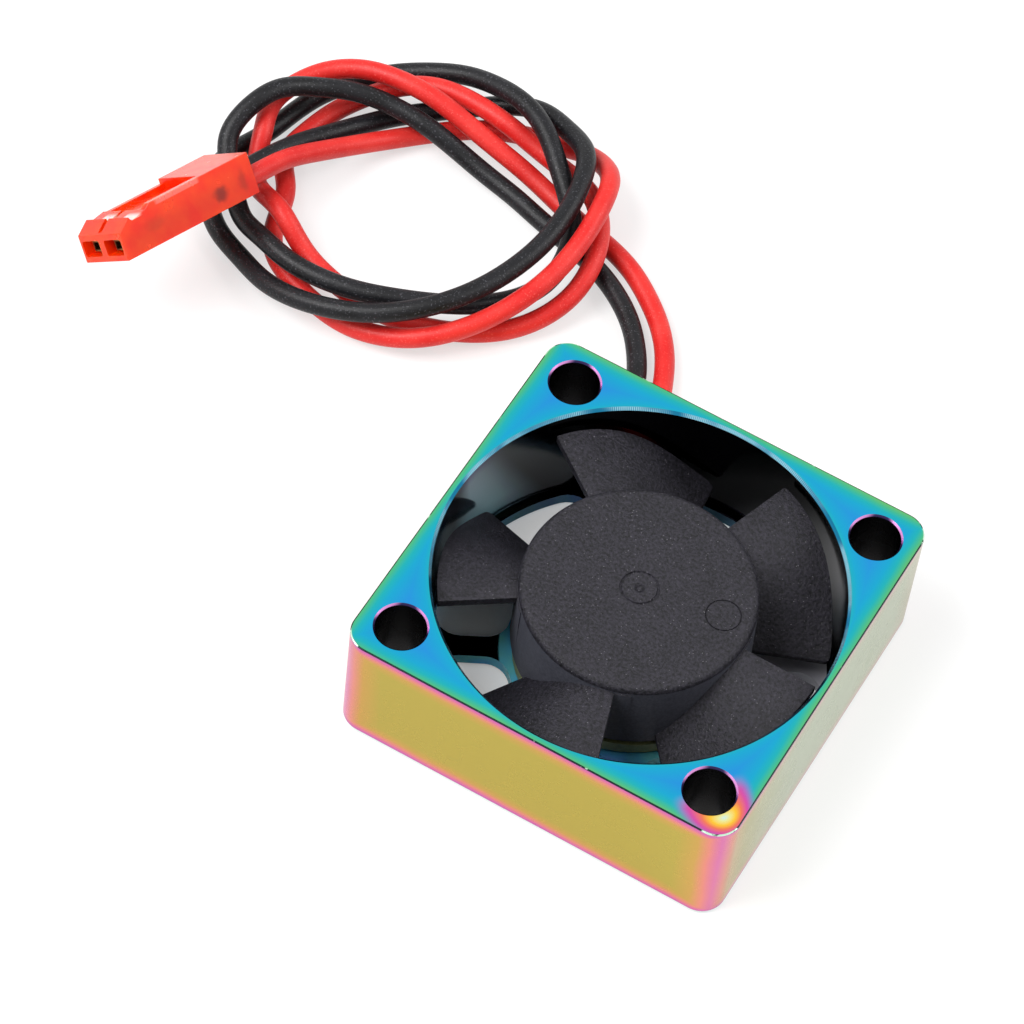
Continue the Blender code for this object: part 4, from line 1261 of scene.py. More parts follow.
@dataclass
class Impeller:
    """Hub and five blades in one moulding."""

    hub: float = 8.45
    hub_draft: float = 0.12
    top: float = 9.6
    edge_round: float = 0.5
    skirt_wall: float = 0.5
    skirt_bottom: float = 3.2
    cap: float = 0.8
    gate: float = 1.3
    gate_groove: float = 0.1
    dimple: float = 0.4
    dimple_depth: float = 0.4
    mould_step: float = 0.09
    mould_step_sweep: float = 12.0
    mould_step_slant: float = 3.8
    mould_step_top: float = 8.95
    pin_place: Flat = (5.96, 1.16)
    pin: float = 1.23
    pin_groove: float = 0.1
    over: float = 0.2
    blades: int = 5
    first_blade: float = -0.4
    root_depth: float = 0.3
    tip: float = 13.9
    tail_round: float = 0.4
    tail_share: float = 0.9
    edge: float = 0.045
    edge_fold: float = 50.0
    # Angle back from the leading edge, height of the upper face, upright thickness
    section: tuple[Point, ...] = (
        (0.0, 9.0, 0.7), (6.0, 9.0, 0.75), (12.0, 8.8, 0.75), (18.0, 8.45, 0.8), (24.0, 7.85, 0.85),
        (30.0, 7.0, 0.95), (36.0, 6.0, 1.0), (41.0, 5.15, 0.9), (45.0, 4.55, 0.7), (47.5, 4.2, 0.5),
        (49.5, 3.9, 0.35),
    )
    stations: int = 44
    tail_stations: int = 4
    tail_turn: float = 80.0
    # Largest upright share of the normal of the smooth skirt's faces
    skirt_normal: float = 0.3

    def hub_form(self) -> Shape:
        """Make the hub with its gate mark.

        Returns:
            The turned cup.
        """
        top, groove = self.top, self.gate_groove
        corner = (self.hub - self.hub_draft - self.edge_round, top - self.edge_round)
        inner = self.hub - self.skirt_wall
        return Shape.turned((
            (0.0, top - self.dimple_depth),
            (self.dimple / 2, top - self.dimple_depth / 2),
            (self.dimple, top),
            (self.gate - groove, top),
            (self.gate - groove / 2, top - groove),
            (self.gate + groove / 2, top - groove),
            (self.gate + groove, top),
            *arc(corner, self.edge_round, 90.0, 0.0, 8),
            (self.hub, self.skirt_bottom),
            (inner, self.skirt_bottom),
            (inner, top - self.cap),
            (0.0, top - self.cap),
        ), steps=180)

    def blade_angles(self) -> list[float]:
        """Give the angle of each blade's leading edge."""
        return [self.first_blade + index * 360.0 / self.blades for index in range(self.blades)]

    def mould_step_form(self, first: float) -> Shape:
        """Make the raised strip that the mould leaves on the skirt ahead of a blade.

        Args:
            first: Angle of the blade's leading edge.

        Returns:
            The strip, tapered and slanted as the skirt is drawn.
        """
        outer, inner = self.hub + self.mould_step, self.hub - self.root_depth
        last = first + self.mould_step_sweep
        outline = arc(AXIS, outer, first, last, 8) + arc(AXIS, inner, last, first, 8)
        strip = Shape.prism(outline, self.skirt_bottom, self.mould_step_top)
        taper = 1.0 - self.hub_draft / self.hub
        lean = Matrix.Rotation(math.radians(-self.mould_step_slant), 4, "Z")
        upper = [vert for vert in strip.mesh.verts if vert.co.z > self.skirt_bottom]
        bmesh.ops.transform(strip.mesh, matrix=lean @ Matrix.Diagonal((taper, taper, 1.0, 1.0)), verts=upper)
        return strip

    def pin_mark(self) -> Shape:
        """Make the shallow round groove that the mould's ejector leaves.

        Returns:
            The form in its place.
        """
        low, high = self.top - self.gate_groove, self.top + self.over
        inner, outer = self.pin - self.pin_groove / 2, self.pin + self.pin_groove / 2
        ring = Shape.turned(((outer, high), (outer, low), (inner, low), (inner, high)), 64, ring=True)
        return ring.shift(*self.pin_place, 0.0)

    def reach(self, back: float) -> float:
        """Give the tip radius of a blade, less where its tail is rounded.

        Args:
            back: Angle back from the leading edge.

        Returns:
            The radius.
        """
        left = math.radians(self.section[-1][0] - back) * self.tip
        if left >= self.tail_round:
            return self.tip
        drop = self.tail_round - left
        rounded = self.tip - self.tail_round + math.sqrt(max(self.tail_round ** 2 - drop ** 2, 0.0))
        return max(rounded, self.tip - self.tail_share * self.tail_round)

    def section_angles(self) -> np.ndarray:
        """Give the angles back from the leading edge at which a blade has a section.

        Returns:
            Rising angles, closer together where the tail is rounded.
        """
        turned = np.radians(np.linspace(0.0, self.tail_turn, self.tail_stations))
        left = self.tail_round * (1.0 - np.sin(turned))
        tail = self.section[-1][0] - np.degrees((left - left[-1]) / self.tip)
        return np.concatenate((np.linspace(0.0, tail[0], self.stations)[:-1], tail))

    def corners(self, angle: float, back: float, height: float, thickness: float) -> list[Point]:
        """Give the corners of one section of a blade.

        Args:
            angle: Angle of the leading edge.
            back: Angle back from it.
            height: Height of the upper face.
            thickness: Upright thickness.

        Returns:
            Four points, from the root's lower one round to its upper one.
        """
        inner = polar(self.hub - self.root_depth, angle - back)
        outer = polar(self.reach(back), angle - back)
        low = height - thickness
        return [(*inner, low), (*outer, low), (*outer, height), (*inner, height)]

    def blade_form(self, angle: float) -> Shape:
        """Make one blade by extruding its leading face back along the section.

        Args:
            angle: Angle of the leading edge.

        Returns:
            The blade with softened edges.
        """
        given = np.array(self.section)
        backs = self.section_angles()
        rows = cubic(given[:, 0], given[:, 1:], backs)
        shape = Shape()
        front = [shape.mesh.verts.new(point) for point in self.corners(angle, backs[0], *rows[0])]
        face = shape.mesh.faces.new(front)
        for back, row in zip(backs[1:], rows[1:]):
            grown = shape.extruded(face)
            if face.is_valid and back > backs[1]:
                shape.mesh.faces.remove(face)
            face = grown
            front = self.in_order(face, front)
            for vert, point in zip(front, self.corners(angle, back, *row)):
                vert.co = point
        shape.face_outwards()
        return shape.bevel(self.edge, lambda edge: fold(edge) > self.edge_fold)

    @staticmethod
    def in_order(face: Face, before: Sequence[Vert]) -> list[Vert]:
        """Match the corners of an extruded face to those that it grew from."""
        return [min(face.verts, key=lambda vert: (vert.co - old.co).length) for old in before]

    def on_skirt(self, centre: Vector, normal: Vector) -> bool:
        """Tell whether a face belongs to the smooth upright skirt.

        Args:
            centre: Middle of the face in millimetres.
            normal: Its direction.

        Returns:
            Whether it does.
        """
        off = abs(math.hypot(centre.x, centre.y) - self.hub)
        upright = abs(normal.z) < self.skirt_normal
        return off < 2 * self.hub_draft and upright and centre.z < self.top - self.edge_round

    def build(self) -> list[Piece]:
        """Make the impeller and finish it.

        Returns:
            The finished piece.
        """
        item = self.hub_form().piece("fan_impeller")
        apply_tools(item, Join.CUT, self.pin_mark())
        angles = self.blade_angles()
        apply_tools(item, Join.ADD, *map(self.mould_step_form, angles), *map(self.blade_form, angles))
        # The smooth skirt's black plastic in lighter colours, which paint its sheen
        smooth = MouldedBlack("smooth_black_painted_sheen", screen(58, 59, 67), screen(76, 77, 86), screen(92, 92, 100),
                              speck_share=0.2, grain_depth=0.01)
        dress(item, MouldedBlack("moulded_black").build(), smooth.build())
        for face in item.data.polygons:
            face.material_index = int(self.on_skirt(face.center, face.normal))
        return [publish(item, "rotor", "impeller", sharp=28.0)]


@dataclass
class Connector:
    """The two-pin housing with its contacts, drawn front to rear along +X."""

    origin: Point = (-46.1, 4.8, 7.5)
    turn: Point = (-42.9, 13.5, 74.3)
    length: float = 13.2
    width: float = 4.9
    height: float = 3.15
    pitch: float = 2.5
    latch_end: float = 2.8
    # Distance from the front and height: lip, crest, foot and end of the latch wedge, rails
    top: tuple[Flat, ...] = ((0.0, 2.1), (1.2, 2.9), (1.35, 2.6), (2.8, 2.85), (3.3, 3.15))
    slot: float = 0.4
    slot_floor: float = 2.2
    recess_end: float = 8.5
    recess_floor: float = 2.35
    rail: float = 0.5
    key_rail: float = 2.75
    socket_width: float = 1.9
    socket_height: float = 1.2
    socket_floor: float = 0.45
    socket_depth: float = 10.4
    socket_corner: float = 0.15
    entry: float = 0.95
    entry_depth: float = 2.0
    soft_edge: float = 0.07
    soft_fold: float = 20.0
    over: float = 0.5
    far_over: float = 1.0
    # A contact's box mouth: its two ends, half width and height, wall and depth
    mouth: Flat = (0.6, 5.6)
    mouth_half: Flat = (0.55, 0.4)
    mouth_wall: float = 0.16
    mouth_depth: float = 3.6
    # Length of each stretch behind the mouth, with its width and height as shares of the one before
    stretches: tuple[Point, ...] = ((0.5, 0.55, 0.6), (1.2, 1.0, 1.0), (0.2, 1.25, 1.15), (2.4, 1.0, 1.0))
    sharp: float = 30.0
    guard_step: float = 0.8
    guard_gap: float = 0.3

    @property
    def matrix(self) -> Matrix:
        """Where the connector lies, in millimetres."""
        return Matrix.LocRotScale(Vector(self.origin), Euler([math.radians(a) for a in self.turn]), None)

    @property
    def wire_height(self) -> float:
        """Height of the leads' axes above the underside."""
        return self.socket_floor + self.socket_height / 2

    def guard(self) -> tuple[np.ndarray, float]:
        """Give balls that stand in for the housing while the leads are laid.

        Returns:
            Their centres, and the distance that a lead's skin keeps from them.
        """
        height = self.height / 2
        balls = []
        for x in np.arange(0.0, self.length, self.guard_step):
            for side in (-1, 1):
                balls.append(tuple(self.matrix @ Vector((x, side * self.pitch / 2, height))))
        return np.array(balls), math.hypot((self.width - self.pitch) / 2, height) + self.guard_gap

    def body_form(self) -> Shape:
        """Make the outer form.

        Returns:
            The form with its crest, latch wedge and softened edges.
        """
        outline = ((0.0, 0.0), (self.length, 0.0), (self.length, self.height), *self.top[::-1])
        shape = Shape.prism(outline, -self.width / 2, self.width / 2).turn(90.0, "X")
        shape.face_outwards()
        return shape.bevel(self.soft_edge, lambda edge: fold(edge) > self.soft_fold)

    def top_tools(self) -> list[Shape]:
        """Make the forms that are cut into the top.

        Returns:
            The channel, the step of the lower rail and the crest's slot.
        """
        half = self.width / 2
        rail = half - self.rail
        above = self.height + self.over
        return [
            Shape.box((self.latch_end, -rail, self.recess_floor), (self.recess_end, rail, above)),
            Shape.box((self.latch_end, rail - self.over, self.key_rail),
                      (self.recess_end, half + self.over, above)),
            Shape.box((-self.over, -self.slot / 2, self.slot_floor),
                      (self.latch_end + self.over, self.slot / 2, above)),
        ]

    def socket_form(self, y: float) -> Shape:
        """Make one socket with rounded long edges.

        Args:
            y: Place of its axis.

        Returns:
            The form that is cut away.
        """
        half = self.socket_width / 2
        low, high = self.socket_floor, self.socket_floor + self.socket_height
        shape = Shape.box((-self.far_over, y - half, low), (self.socket_depth, y + half, high))
        return shape.bevel(self.socket_corner, lambda edge: run(edge, 0) > self.far_over)

    def entry_form(self, y: float) -> Shape:
        """Make the form of the round hole that a lead goes into, with its axis at y."""
        shape = Shape.plug(self.entry, -self.entry_depth, self.far_over, 40)
        return shape.turn(90.0, "Y").shift(self.length, y, self.wire_height)

    def contact_form(self, y: float) -> Shape:
        """Make one crimped contact.

        Args:
            y: Place of its axis.

        Returns:
            A box mouth, a neck and a crimp.
        """
        middle = self.wire_height
        (start, end), (wide, tall) = self.mouth, self.mouth_half
        shape = Shape.box((start, y - wide, middle - tall), (end, y + wide, middle + tall))
        front = min(shape.mesh.faces, key=lambda face: face.calc_center_median().x)
        inset = bmesh.ops.inset_region(shape.mesh, faces=[front], thickness=self.mouth_wall)
        inner = front if front.is_valid else inset["faces"][0]
        deep = shape.extruded(inner)
        bmesh.ops.delete(shape.mesh, geom=[inner], context="FACES_ONLY")
        bmesh.ops.translate(shape.mesh, vec=(self.mouth_depth, 0.0, 0.0), verts=deep.verts)
        rear = max(shape.mesh.faces, key=lambda face: face.calc_center_median().x)
        about = Matrix.Translation((0.0, -y, -middle))
        for length, wider, taller in self.stretches:
            grown = shape.extruded(rear)
            bmesh.ops.delete(shape.mesh, geom=[rear], context="FACES_ONLY")
            rear = grown
            bmesh.ops.translate(shape.mesh, vec=(length, 0.0, 0.0), verts=rear.verts)
            bmesh.ops.scale(shape.mesh, vec=(1.0, wider, taller), space=about, verts=rear.verts)
        return shape

    def build(self) -> list[Piece]:
        """Make the housing and its contacts.

        Returns:
            The housing, then the red and the black lead's contact.
        """
        housing = self.body_form().piece("plug_housing")
        sides = {"red": -self.pitch / 2, "black": self.pitch / 2}
        apply_tools(housing, Join.CUT, *self.top_tools())
        for y in sides.values():
            apply_tools(housing, Join.CUT, self.socket_form(y), self.entry_form(y))
        red = ClearRed("clear_red", self.origin, self.turn, self.width, self.height, self.rail)
        tin = PlainMetal("contact_tin", screen(170, 140, 92), screen(96, 78, 54), 0.3).build()
        housing.data.transform(self.matrix)
        dress(housing, red.build())
        pieces = [publish(housing, "stator", "connector_housing", self.sharp)]
        for colour, y in sides.items():
            contact = self.contact_form(y).piece(f"{colour}_crimp")
            contact.data.transform(self.matrix)
            dress(contact, tin)
            pieces.append(publish(contact, "stator", f"{colour}_contact", self.sharp))
        return pieces


@dataclass(frozen=True)
class Laying:
    """Lays leads down together, as they would come to rest on a table."""

    diameter: float
    gap: float
    step: float = 2.9
    spots: int = 4
    settle_steps: int = 300
    clear_steps: int = 80
    even_share: float = 0.3
    plan_share: float = 0.03
    sink: float = 0.01
    least_weight: float = 0.25
    held_start: int = 4
    held_end: int = 3
    # Diameters along a lead over which it may be close to itself
    own_reach: int = 5

    def spaced(self, route: np.ndarray) -> np.ndarray:
        """Give points at even steps along the smooth curve through a route."""
        knots = travelled(route)
        return cubic(knots, route, np.linspace(0.0, knots[-1], round(knots[-1] / self.step) + 1))

    @staticmethod
    def pushes(spots: np.ndarray, others: np.ndarray, reach: float, allowed: np.ndarray) -> np.ndarray:
        """Tell how far each spot has to move to get clear of others.

        Args:
            spots: Points that move.
            others: Points that they keep away from.
            reach: Distance to keep.
            allowed: Which pairs count.

        Returns:
            One move for each spot.
        """
        square = (spots ** 2).sum(1)[:, None] + (others ** 2).sum(1) - 2 * spots @ others.T
        near, far_shade = np.nonzero((square < reach ** 2) & allowed)
        offset = spots[near] - others[far_shade]
        distance = np.linalg.norm(offset, axis=1)[:, None]
        total = np.zeros_like(spots)
        np.add.at(total, near, offset * (reach - distance) / distance)
        return total / np.maximum(np.bincount(near, minlength=len(spots)), 1)[:, None]

    def lay(self, routes: dict[str, np.ndarray], guard: np.ndarray,
            guard_reach: float) -> dict[str, np.ndarray]:
        """Ease the leads off each other, even out their bends and let them sink.

        Args:
            routes: Planned points of each lead, at even steps.
            guard: Balls that stand in for the connector.
            guard_reach: How close a lead's axis may come to a ball.

        Returns:
            The points of each lead at rest.
        """
        lengths = [len(route) for route in routes.values()]
        plan = np.concatenate(list(routes.values()))
        points = plan.copy()
        lead = np.repeat(np.arange(len(lengths)), lengths)
        from_start = np.concatenate([np.arange(length) for length in lengths])
        from_end = np.concatenate([np.arange(length)[::-1] for length in lengths])
        free = (from_start >= self.held_start) & (from_end >= self.held_end)
        pieces = np.flatnonzero(lead[:-1] == lead[1:])
        start = np.repeat(pieces, self.spots)
        share = np.tile(np.arange(self.spots) / self.spots, len(pieces))[:, None]
        along = (start + share[:, 0]) * self.step
        apart = np.abs(along[:, None] - along) > self.own_reach * self.diameter
        clear_of = (lead[start][:, None] != lead[start]) | apart
        off_guard = (from_end[start] >= 2 * self.held_end)[:, None]
        for step in range(self.settle_steps + self.clear_steps):
            spots = points[start] * (1.0 - share) + points[start + 1] * share
            push = self.pushes(spots, spots, self.diameter + self.gap, clear_of) / 2
            push += self.pushes(spots, guard, guard_reach, off_guard)
            touched = push.any(axis=1)[:, None]
            change = np.zeros_like(points)
            weight = np.zeros((len(points), 1))
            for index, part in ((start, 1.0 - share), (start + 1, share)):
                np.add.at(change, index, push * part)
                np.add.at(weight, index, touched * part)
            change /= np.maximum(weight, self.least_weight)
            if step < self.settle_steps:
                bend = np.zeros_like(points)
                bend[1:-1] = (points[:-2] + points[2:]) / 2 - points[1:-1]
                change[1:-1] -= self.even_share * ((bend[:-2] + bend[2:]) / 2 - bend[1:-1])
                change[:, :2] += self.plan_share * (plan - points)[:, :2]
                change[:, 2] -= self.sink
            points[free] += change[free]
            points[:, 2] = np.maximum(points[:, 2], self.diameter / 2)
        return dict(zip(routes, np.split(points, np.cumsum(lengths)[:-1])))


@dataclass
class Leads:
    """The red and black silicone leads, from the board through their coil to the connector."""

    connector: Connector
    diameter: float = 1.5
    pitch: float = 1.9
    gap: float = 0.5
    axis_height: float = 1.45
    start: float = 8.5
    wall: float = 15.0
    overrun: float = 1.0
    channel_points: int = 4
    angle: float = 119.1
    insert: float = 1.5
    end_points: Flat = (2.1, 0.3)
    centre: Flat = (-29.6, 27.4)
    quarter: int = 6
    smooth: int = 8
    facets: int = 6

    SIDES: ClassVar[dict[str, int]] = {"red": -1, "black": 1}
    # Way from the slot to the coil: x and y from the coil's centre, then height of the lead's axis
    WAY_IN: ClassVar[dict[str, tuple[Point, ...]]] = {
        "red": ((20.9, -5.6, 0.8), (17.0, -0.6, 0.8), (12.5, 2.0, 0.8),
                (7.0, 4.0, 0.8), (3.0, 5.0, 2.8), (-3.0, 5.2, 4.8)),
        "black": ((18.9, -5.8, 0.8), (15.0, -1.3, 0.8), (11.5, 0.8, 0.8),
                  (7.5, 2.2, 0.8), (3.0, 3.8, 1.5), (-3.0, 4.2, 3.0)),
    }
    # Outermost point of each quarter turn, first up, then left, down, right and up again:
    # x and y from the coil's centre, height there, height halfway to the next
    EXTREMES: ClassVar[dict[str, tuple[tuple[float, ...], ...]]] = {
        "red": (
            (-9.0, 6.2, 4.2, 2.9), (-16.3, 0.0, 2.7, 2.8), (-2.0, -11.5, 0.8, 0.9), (11.8, -0.8, 2.8, 2.8),
            (-4.0, 7.5, 2.4, 1.2), (-13.5, -1.5, 1.4, 0.8), (-2.0, -14.0, 1.8, 3.3), (10.2, 0.5, 4.9, 4.4),
            (3.2, 9.6, 1.2, 0.8),
        ),
        "black": (
            (-6.0, 4.4, 3.3, 4.5), (-16.5, -4.2, 3.4, 2.7), (-6.0, -12.4, 1.4, 0.8), (10.0, -0.3, 2.7, 3.8),
            (-7.6, 9.3, 1.1, 0.8), (-15.3, -5.5, 0.8, 1.6), (-4.5, -14.2, 2.8, 3.2), (8.1, 1.0, 4.8, 4.2),
            (-1.4, 9.4, 1.2, 0.8),
        ),
    }
    # Way from the coil to the connector
    WAY_OUT: ClassVar[dict[str, tuple[Point, ...]]] = {
        "red": ((-1.7, 7.4, 0.8), (-4.6, 5.0, 0.8), (-8.4, 1.8, 1.3), (-10.3, -1.4, 2.6)),
        "black": ((-5.3, 7.5, 0.8), (-8.1, 4.9, 1.0), (-10.8, 0.6, 2.7)),
    }
    FINISHES: ClassVar[dict[str, Silicone]] = {
        "red": Silicone("red_silicone", screen(198, 26, 24), screen(214, 50, 44),
                        screen(232, 96, 88), 0.36, 0.3),
        "black": Silicone("black_silicone", screen(9, 9, 11), screen(24, 24, 28),
                          screen(92, 92, 98), 0.34, 0.24),
    }

    def in_channel(self, radius: float, side: float) -> Point:
        """Give a point on a lead's axis in its channel.

        Args:
            radius: Distance from the fan's axis along the channel.
            side: -1 for the red lead, 1 for the black one.

        Returns:
            The point in millimetres.
        """
        x, y = polar(radius, self.angle)
        across_x, across_y = polar(side * self.pitch / 2, self.angle + 90.0)
        return x + across_x, y + across_y, self.axis_height

    def turns(self, colour: str) -> list[Point]:
        """Give the turns of a lead's coil, each quarter a piece of an ellipse.

        Args:
            colour: Which lead.

        Returns:
            Points about the coil's centre, in millimetres.
        """
        extremes = self.EXTREMES[colour]
        points: list[Point] = []
        for index, (here, there) in enumerate(zip(extremes, extremes[1:])):
            for step in range(self.quarter):
                share = step / self.quarter
                out, back = math.sin(share * math.pi / 2), math.cos(share * math.pi / 2)
                if index % 2 == 0:
                    x = here[0] + (there[0] - here[0]) * out
                    y = there[1] + (here[1] - there[1]) * back
                else:
                    x = there[0] + (here[0] - there[0]) * back
                    y = here[1] + (there[1] - here[1]) * out
                height = np.interp(share, (0.0, 0.5, 1.0), (here[2], here[3], there[2]))
                points.append((x, y, float(height)))
        return points + [extremes[-1][:3]]

    def route(self, colour: str) -> np.ndarray:
        """Give the lead's planned points.

        Args:
            colour: Which lead.

        Returns:
            One row for each point, in millimetres.
        """
        side = self.SIDES[colour]
        span = np.linspace(self.start, self.wall + self.overrun, self.channel_points)
        points = [self.in_channel(radius, side) for radius in span]
        for x, y, height in (*self.WAY_IN[colour], *self.turns(colour), *self.WAY_OUT[colour]):
            points.append((self.centre[0] + x, self.centre[1] + y, height))
        plug = self.connector
        for along in (*self.end_points, -self.insert):
            end = Vector((plug.length + along, side * plug.pitch / 2, plug.wire_height))
            points.append(tuple(plug.matrix @ end))
        return np.array(points)

    def smoothed(self, points: np.ndarray) -> np.ndarray:
        """Read the smooth curve through a lead's points at closer steps.

        Args:
            points: One row for each point.

        Returns:
            More rows along the same curve.
        """
        knots = travelled(points)
        shares = np.linspace(0.0, 1.0, self.smooth, endpoint=False)
        marks = (knots[:-1, None] + np.diff(knots)[:, None] * shares).ravel()
        return cubic(knots, points, np.append(marks, knots[-1]))

    def wire(self, name: str, points: np.ndarray) -> Piece:
        """Make one lead's tube.

        Args:
            name: Name of the piece.
            points: Its axis, in millimetres.

        Returns:
            The curve object.
        """
        data = bpy.data.curves.new(name, "CURVE")
        data.dimensions = "3D"
        data.bevel_depth = self.diameter / 2 * MM
        data.bevel_resolution = self.facets
        data.use_fill_caps = True
        spline = data.splines.new("POLY")
        spline.points.add(len(points) - 1)
        for knot, point in zip(spline.points, points):
            knot.co = (*(Vector(point) * MM), 1.0)
        return link(name, data)

    def build(self, plug_pieces: Sequence[Piece]) -> list[Piece]:
        """Make both leads and say what they are.

        Args:
            plug_pieces: The connector's housing, then the red and the black lead's contact.

        Returns:
            The red lead, then the black one.
        """
        laying = Laying(self.diameter, self.gap)
        plans = {colour: laying.spaced(self.route(colour)) for colour in self.SIDES}
        guard, reach = self.connector.guard()
        routes = laying.lay(plans, guard, reach + self.diameter / 2)
        housing, *contacts = plug_pieces
        wires = []
        for (colour, finish), contact in zip(self.FINISHES.items(), contacts):
            points = self.smoothed(routes[colour])
            wire = self.wire(f"{colour}_wire", points)
            dress(wire, finish.build())
            stand_in(wire, "stator", f"{colour}_lead")
            wires.append(wire)
        return wires


class InnerFinish(Enum):
    """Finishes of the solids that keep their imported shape, each with the solids that have it."""

    BRASS = (PlainMetal("turned_brass", screen(222, 190, 120), screen(196, 160, 92), 0.25),
             ("bearing_tube", "bearing_spacer", "shaft_bush"))
    STEEL = (PlainMetal("ground_steel", screen(206, 208, 212), screen(176, 178, 184), 0.18),
             ("shaft", "upper_bearing_outer_ring", "lower_bearing_outer_ring", "upper_bearing_inner_ring",
              "lower_bearing_inner_ring", "upper_ball_cage", "lower_ball_cage"))
    SHEET = (PlainMetal("lamination", screen(150, 152, 156), screen(112, 112, 116), 0.4, (0.4, 0.4, 12.0)),
             ("stator_core",))
    YOKE = (PlainMetal("drawn_steel", screen(150, 152, 158), screen(120, 122, 126), 0.35), ("rotor_yoke",))
    SPRING = (PlainMetal("spring_steel", screen(172, 174, 180), screen(136, 138, 146), 0.25),
              ("preload_washer", "retaining_clip"))
    ENAMEL = (PlainMetal("coil_enamel", screen(214, 128, 74), screen(168, 84, 40), 0.3, (7.0, 7.0, 7.0)),
              ("coil_1", "coil_2", "coil_3", "coil_4"))
    TIN = (PlainMetal("solder_tin", screen(212, 212, 214), screen(170, 170, 174), 0.25, (2.0, 2.0, 2.0)),
           ("red_solder_joint", "black_solder_joint"))
    NYLON = (PlainSolid("insulator_nylon", screen(226, 222, 208), screen(204, 200, 184), 0.45),
             ("upper_insulator", "lower_insulator"))
    CAP = (PlainSolid("cap_plastic", screen(52, 52, 56), screen(40, 40, 44), 0.45), ("base_cap",))
    PACKAGE = (PlainSolid("chip_package", screen(42, 42, 45), screen(32, 32, 35), 0.4, 6.0),
               ("drive_chip", "hall_sensor", "capacitor"))
    LAMINATE = (PlainSolid("board_laminate", screen(142, 146, 96), screen(112, 118, 72), 0.4, 2.0),
                ("circuit_board",))
    FERRITE = (PlainSolid("magnet_ferrite", screen(66, 66, 70), screen(48, 48, 52), 0.55, 4.0),
               ("magnet_ring",))


class InnerPieces:
    """The solids inside the fan, which stay as packed."""

    def build(self) -> list[Piece]:
        """Give each solid its finish.

        Returns:
            The solids.
        """
        pieces = []
        for finish, names in (row.value for row in InnerFinish):
            material = finish.build()
            for name in names:
                dress(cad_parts[name], material)
                pieces.append(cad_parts[name])
        return pieces


@dataclass(frozen=True)
class Lamp:
    """One soft square lamp, with lengths in metres and its power in watts."""

    name: str
    place: Point
    size: float
    power: float
    aim: Point = (-0.01, 0.01, 0.0)

    def build(self) -> None:
        """Hang the lamp so that it faces its aim."""
        data = bpy.data.lights.new(self.name, "AREA")
        data.size = self.size
        data.energy = self.power
        item = link(self.name, data)
        item.location = self.place
        item.rotation_euler = (Vector(self.aim) - Vector(self.place)).to_track_quat("-Z", "Y").to_euler()


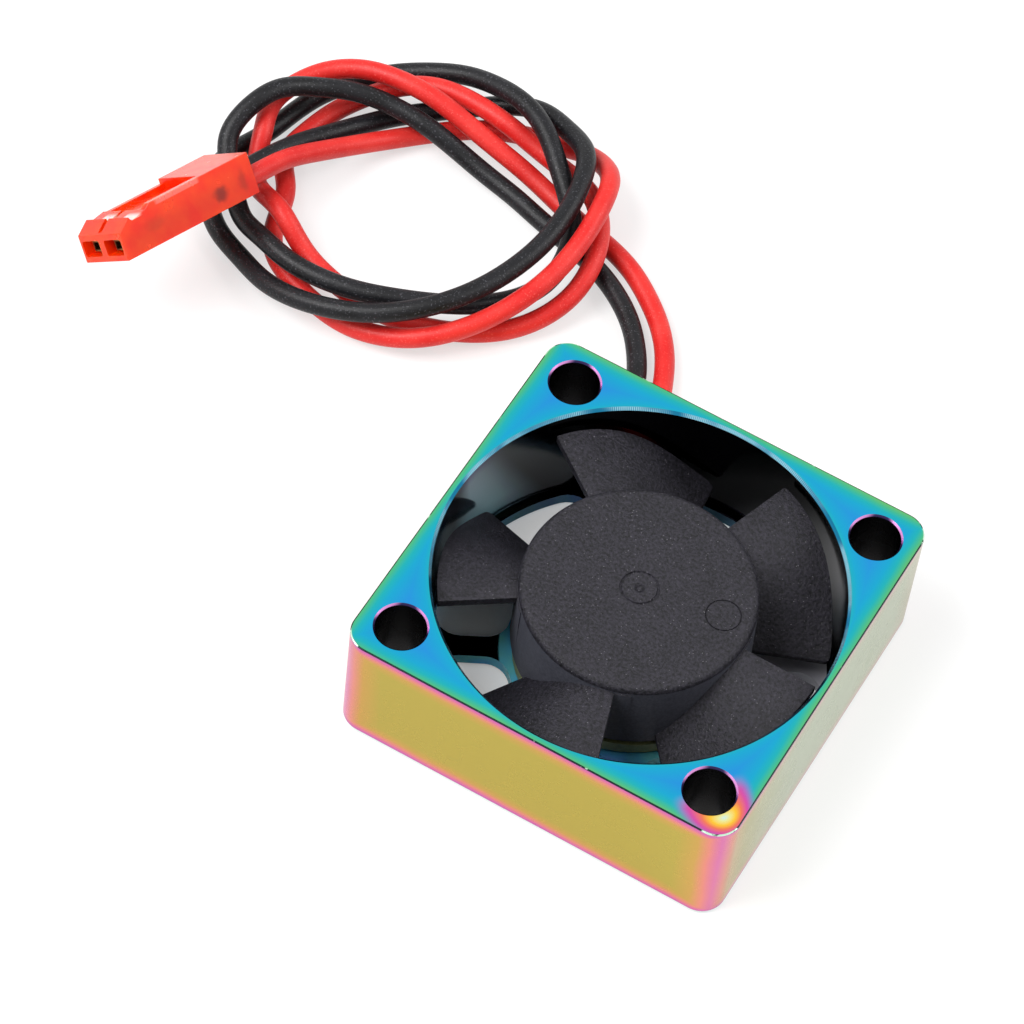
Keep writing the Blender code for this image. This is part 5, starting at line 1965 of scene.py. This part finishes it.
@dataclass(frozen=True)
class Studio:
    """Camera, floor and soft light."""

    camera_place: Point = (68.055, -179.787, 304.632)
    camera_right: Point = (0.8642, 0.4976, 0.0742)
    camera_down: Point = (0.4517, -0.7025, -0.5499)
    camera_ahead: Point = (-0.2215, 0.5088, -0.8319)
    lens: float = 180.36
    sensor: float = 36.0
    clip: float = 0.01
    floor_size: float = 3.0
    floor_drop: float = 0.2
    floor_colour: Colour = (0.9, 0.9, 0.9, 1.0)
    shadow_share: float = 0.4
    # The floor under the fan is less white, and has a painted shadow of the left blade
    plain_reach: Flat = (14.2, 14.7)
    plain_share: float = 0.5
    painted_blade_shadow: Flat = (-11.0, -2.2)
    painted_blade_shadow_reach: Flat = (2.8, 4.8)
    world_level: float = 0.62
    lamps: tuple[Lamp, ...] = (Lamp("key", (-0.35, -0.25, 0.6), 0.45, 6.0),
                               Lamp("fill", (0.45, 0.3, 0.5), 0.4, 2.5))

    def camera(self) -> None:
        """Set the camera at the photo's angle."""
        data = bpy.data.cameras.new("camera")
        data.lens = self.lens
        data.sensor_width = self.sensor
        data.clip_start = self.clip
        item = link("camera", data)
        axes = (Vector(self.camera_right), -Vector(self.camera_down), -Vector(self.camera_ahead))
        turn = Matrix([axis.normalized() for axis in axes]).transposed()
        item.matrix_world = Matrix.Translation(Vector(self.camera_place) * MM) @ turn.to_4x4()
        bpy.context.scene.camera = item

    def floor(self) -> None:
        """Lay the pale floor, white to the camera round the fan, with the object's soft shadow and a painted
        shadow of the left blade under the fan.
        """
        shape = Shape()
        bmesh.ops.create_grid(shape.mesh, x_segments=1, y_segments=1, size=self.floor_size / MM / 2)
        item = shape.shift(0.0, 0.0, -self.floor_drop).piece("floor")
        item.data.transform(Matrix.Scale(MM, 4))
        nodes = Nodes("pale_floor")
        dress(item, nodes.surface(Base_Color=self.floor_colour, Roughness=0.9, Specular_IOR_Level=0.1))
        x, y, _ = nodes.parts()
        # A painted shadow of the left blade: the floor gets no white glow there
        across, along = x - self.painted_blade_shadow[0], y - self.painted_blade_shadow[1]
        outside_painted_shadow = across.hypot(along).step(*self.painted_blade_shadow_reach)
        white = nodes.seen_share() * x.hypot(y).step(*self.plain_reach)
        white = white.most(nodes.ray("Camera") * outside_painted_shadow * self.plain_share)
        lit = Value(nodes, nodes.shader.outputs[0])
        glow = nodes.add("ShaderNodeEmission", None, {"Color": WHITE, "Strength": 1.0})
        share = white * (1.0 - self.shadow_share)
        mixed = nodes.add("ShaderNodeMixShader", None, {0: share, 1: lit, 2: glow})
        nodes.feed(nodes.tree.nodes["Material Output"].inputs["Surface"], mixed)

    def world(self) -> None:
        """Set the white surroundings."""
        world = bpy.data.worlds.new("studio")
        world.use_nodes = True
        bpy.context.scene.world = world
        nodes = NodeTree(world.node_tree)
        background = nodes.tree.nodes["Background"].inputs
        nodes.feed(background["Color"], WHITE)
        nodes.feed(background["Strength"], nodes.seen_share() * (1.0 - self.world_level) + self.world_level)

    def build(self) -> None:
        """Set up everything round the object."""
        bpy.context.scene.view_settings.view_transform = "Standard"
        self.camera()
        self.floor()
        self.world()
        for lamp in self.lamps:
            lamp.build()


def main() -> None:
    """Build the studio and every piece of the fan, and report each."""
    logging.basicConfig(level=logging.INFO, format="%(message)s")
    Studio().build()
    connector = Connector()
    pieces = connector.build()
    pieces += Leads(connector).build(pieces)
    low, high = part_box("frame")
    pieces += FrameHousing(side=(high[0] - low[0]) / MM, height=(high[2] - low[2]) / MM).build()
    pieces += Impeller().build()
    pieces += InnerPieces().build()
    for item in pieces:
        LOG.info("%s: %s", item.name, ", ".join(material.name for material in item.data.materials))


if __name__ == "__main__":
    main()
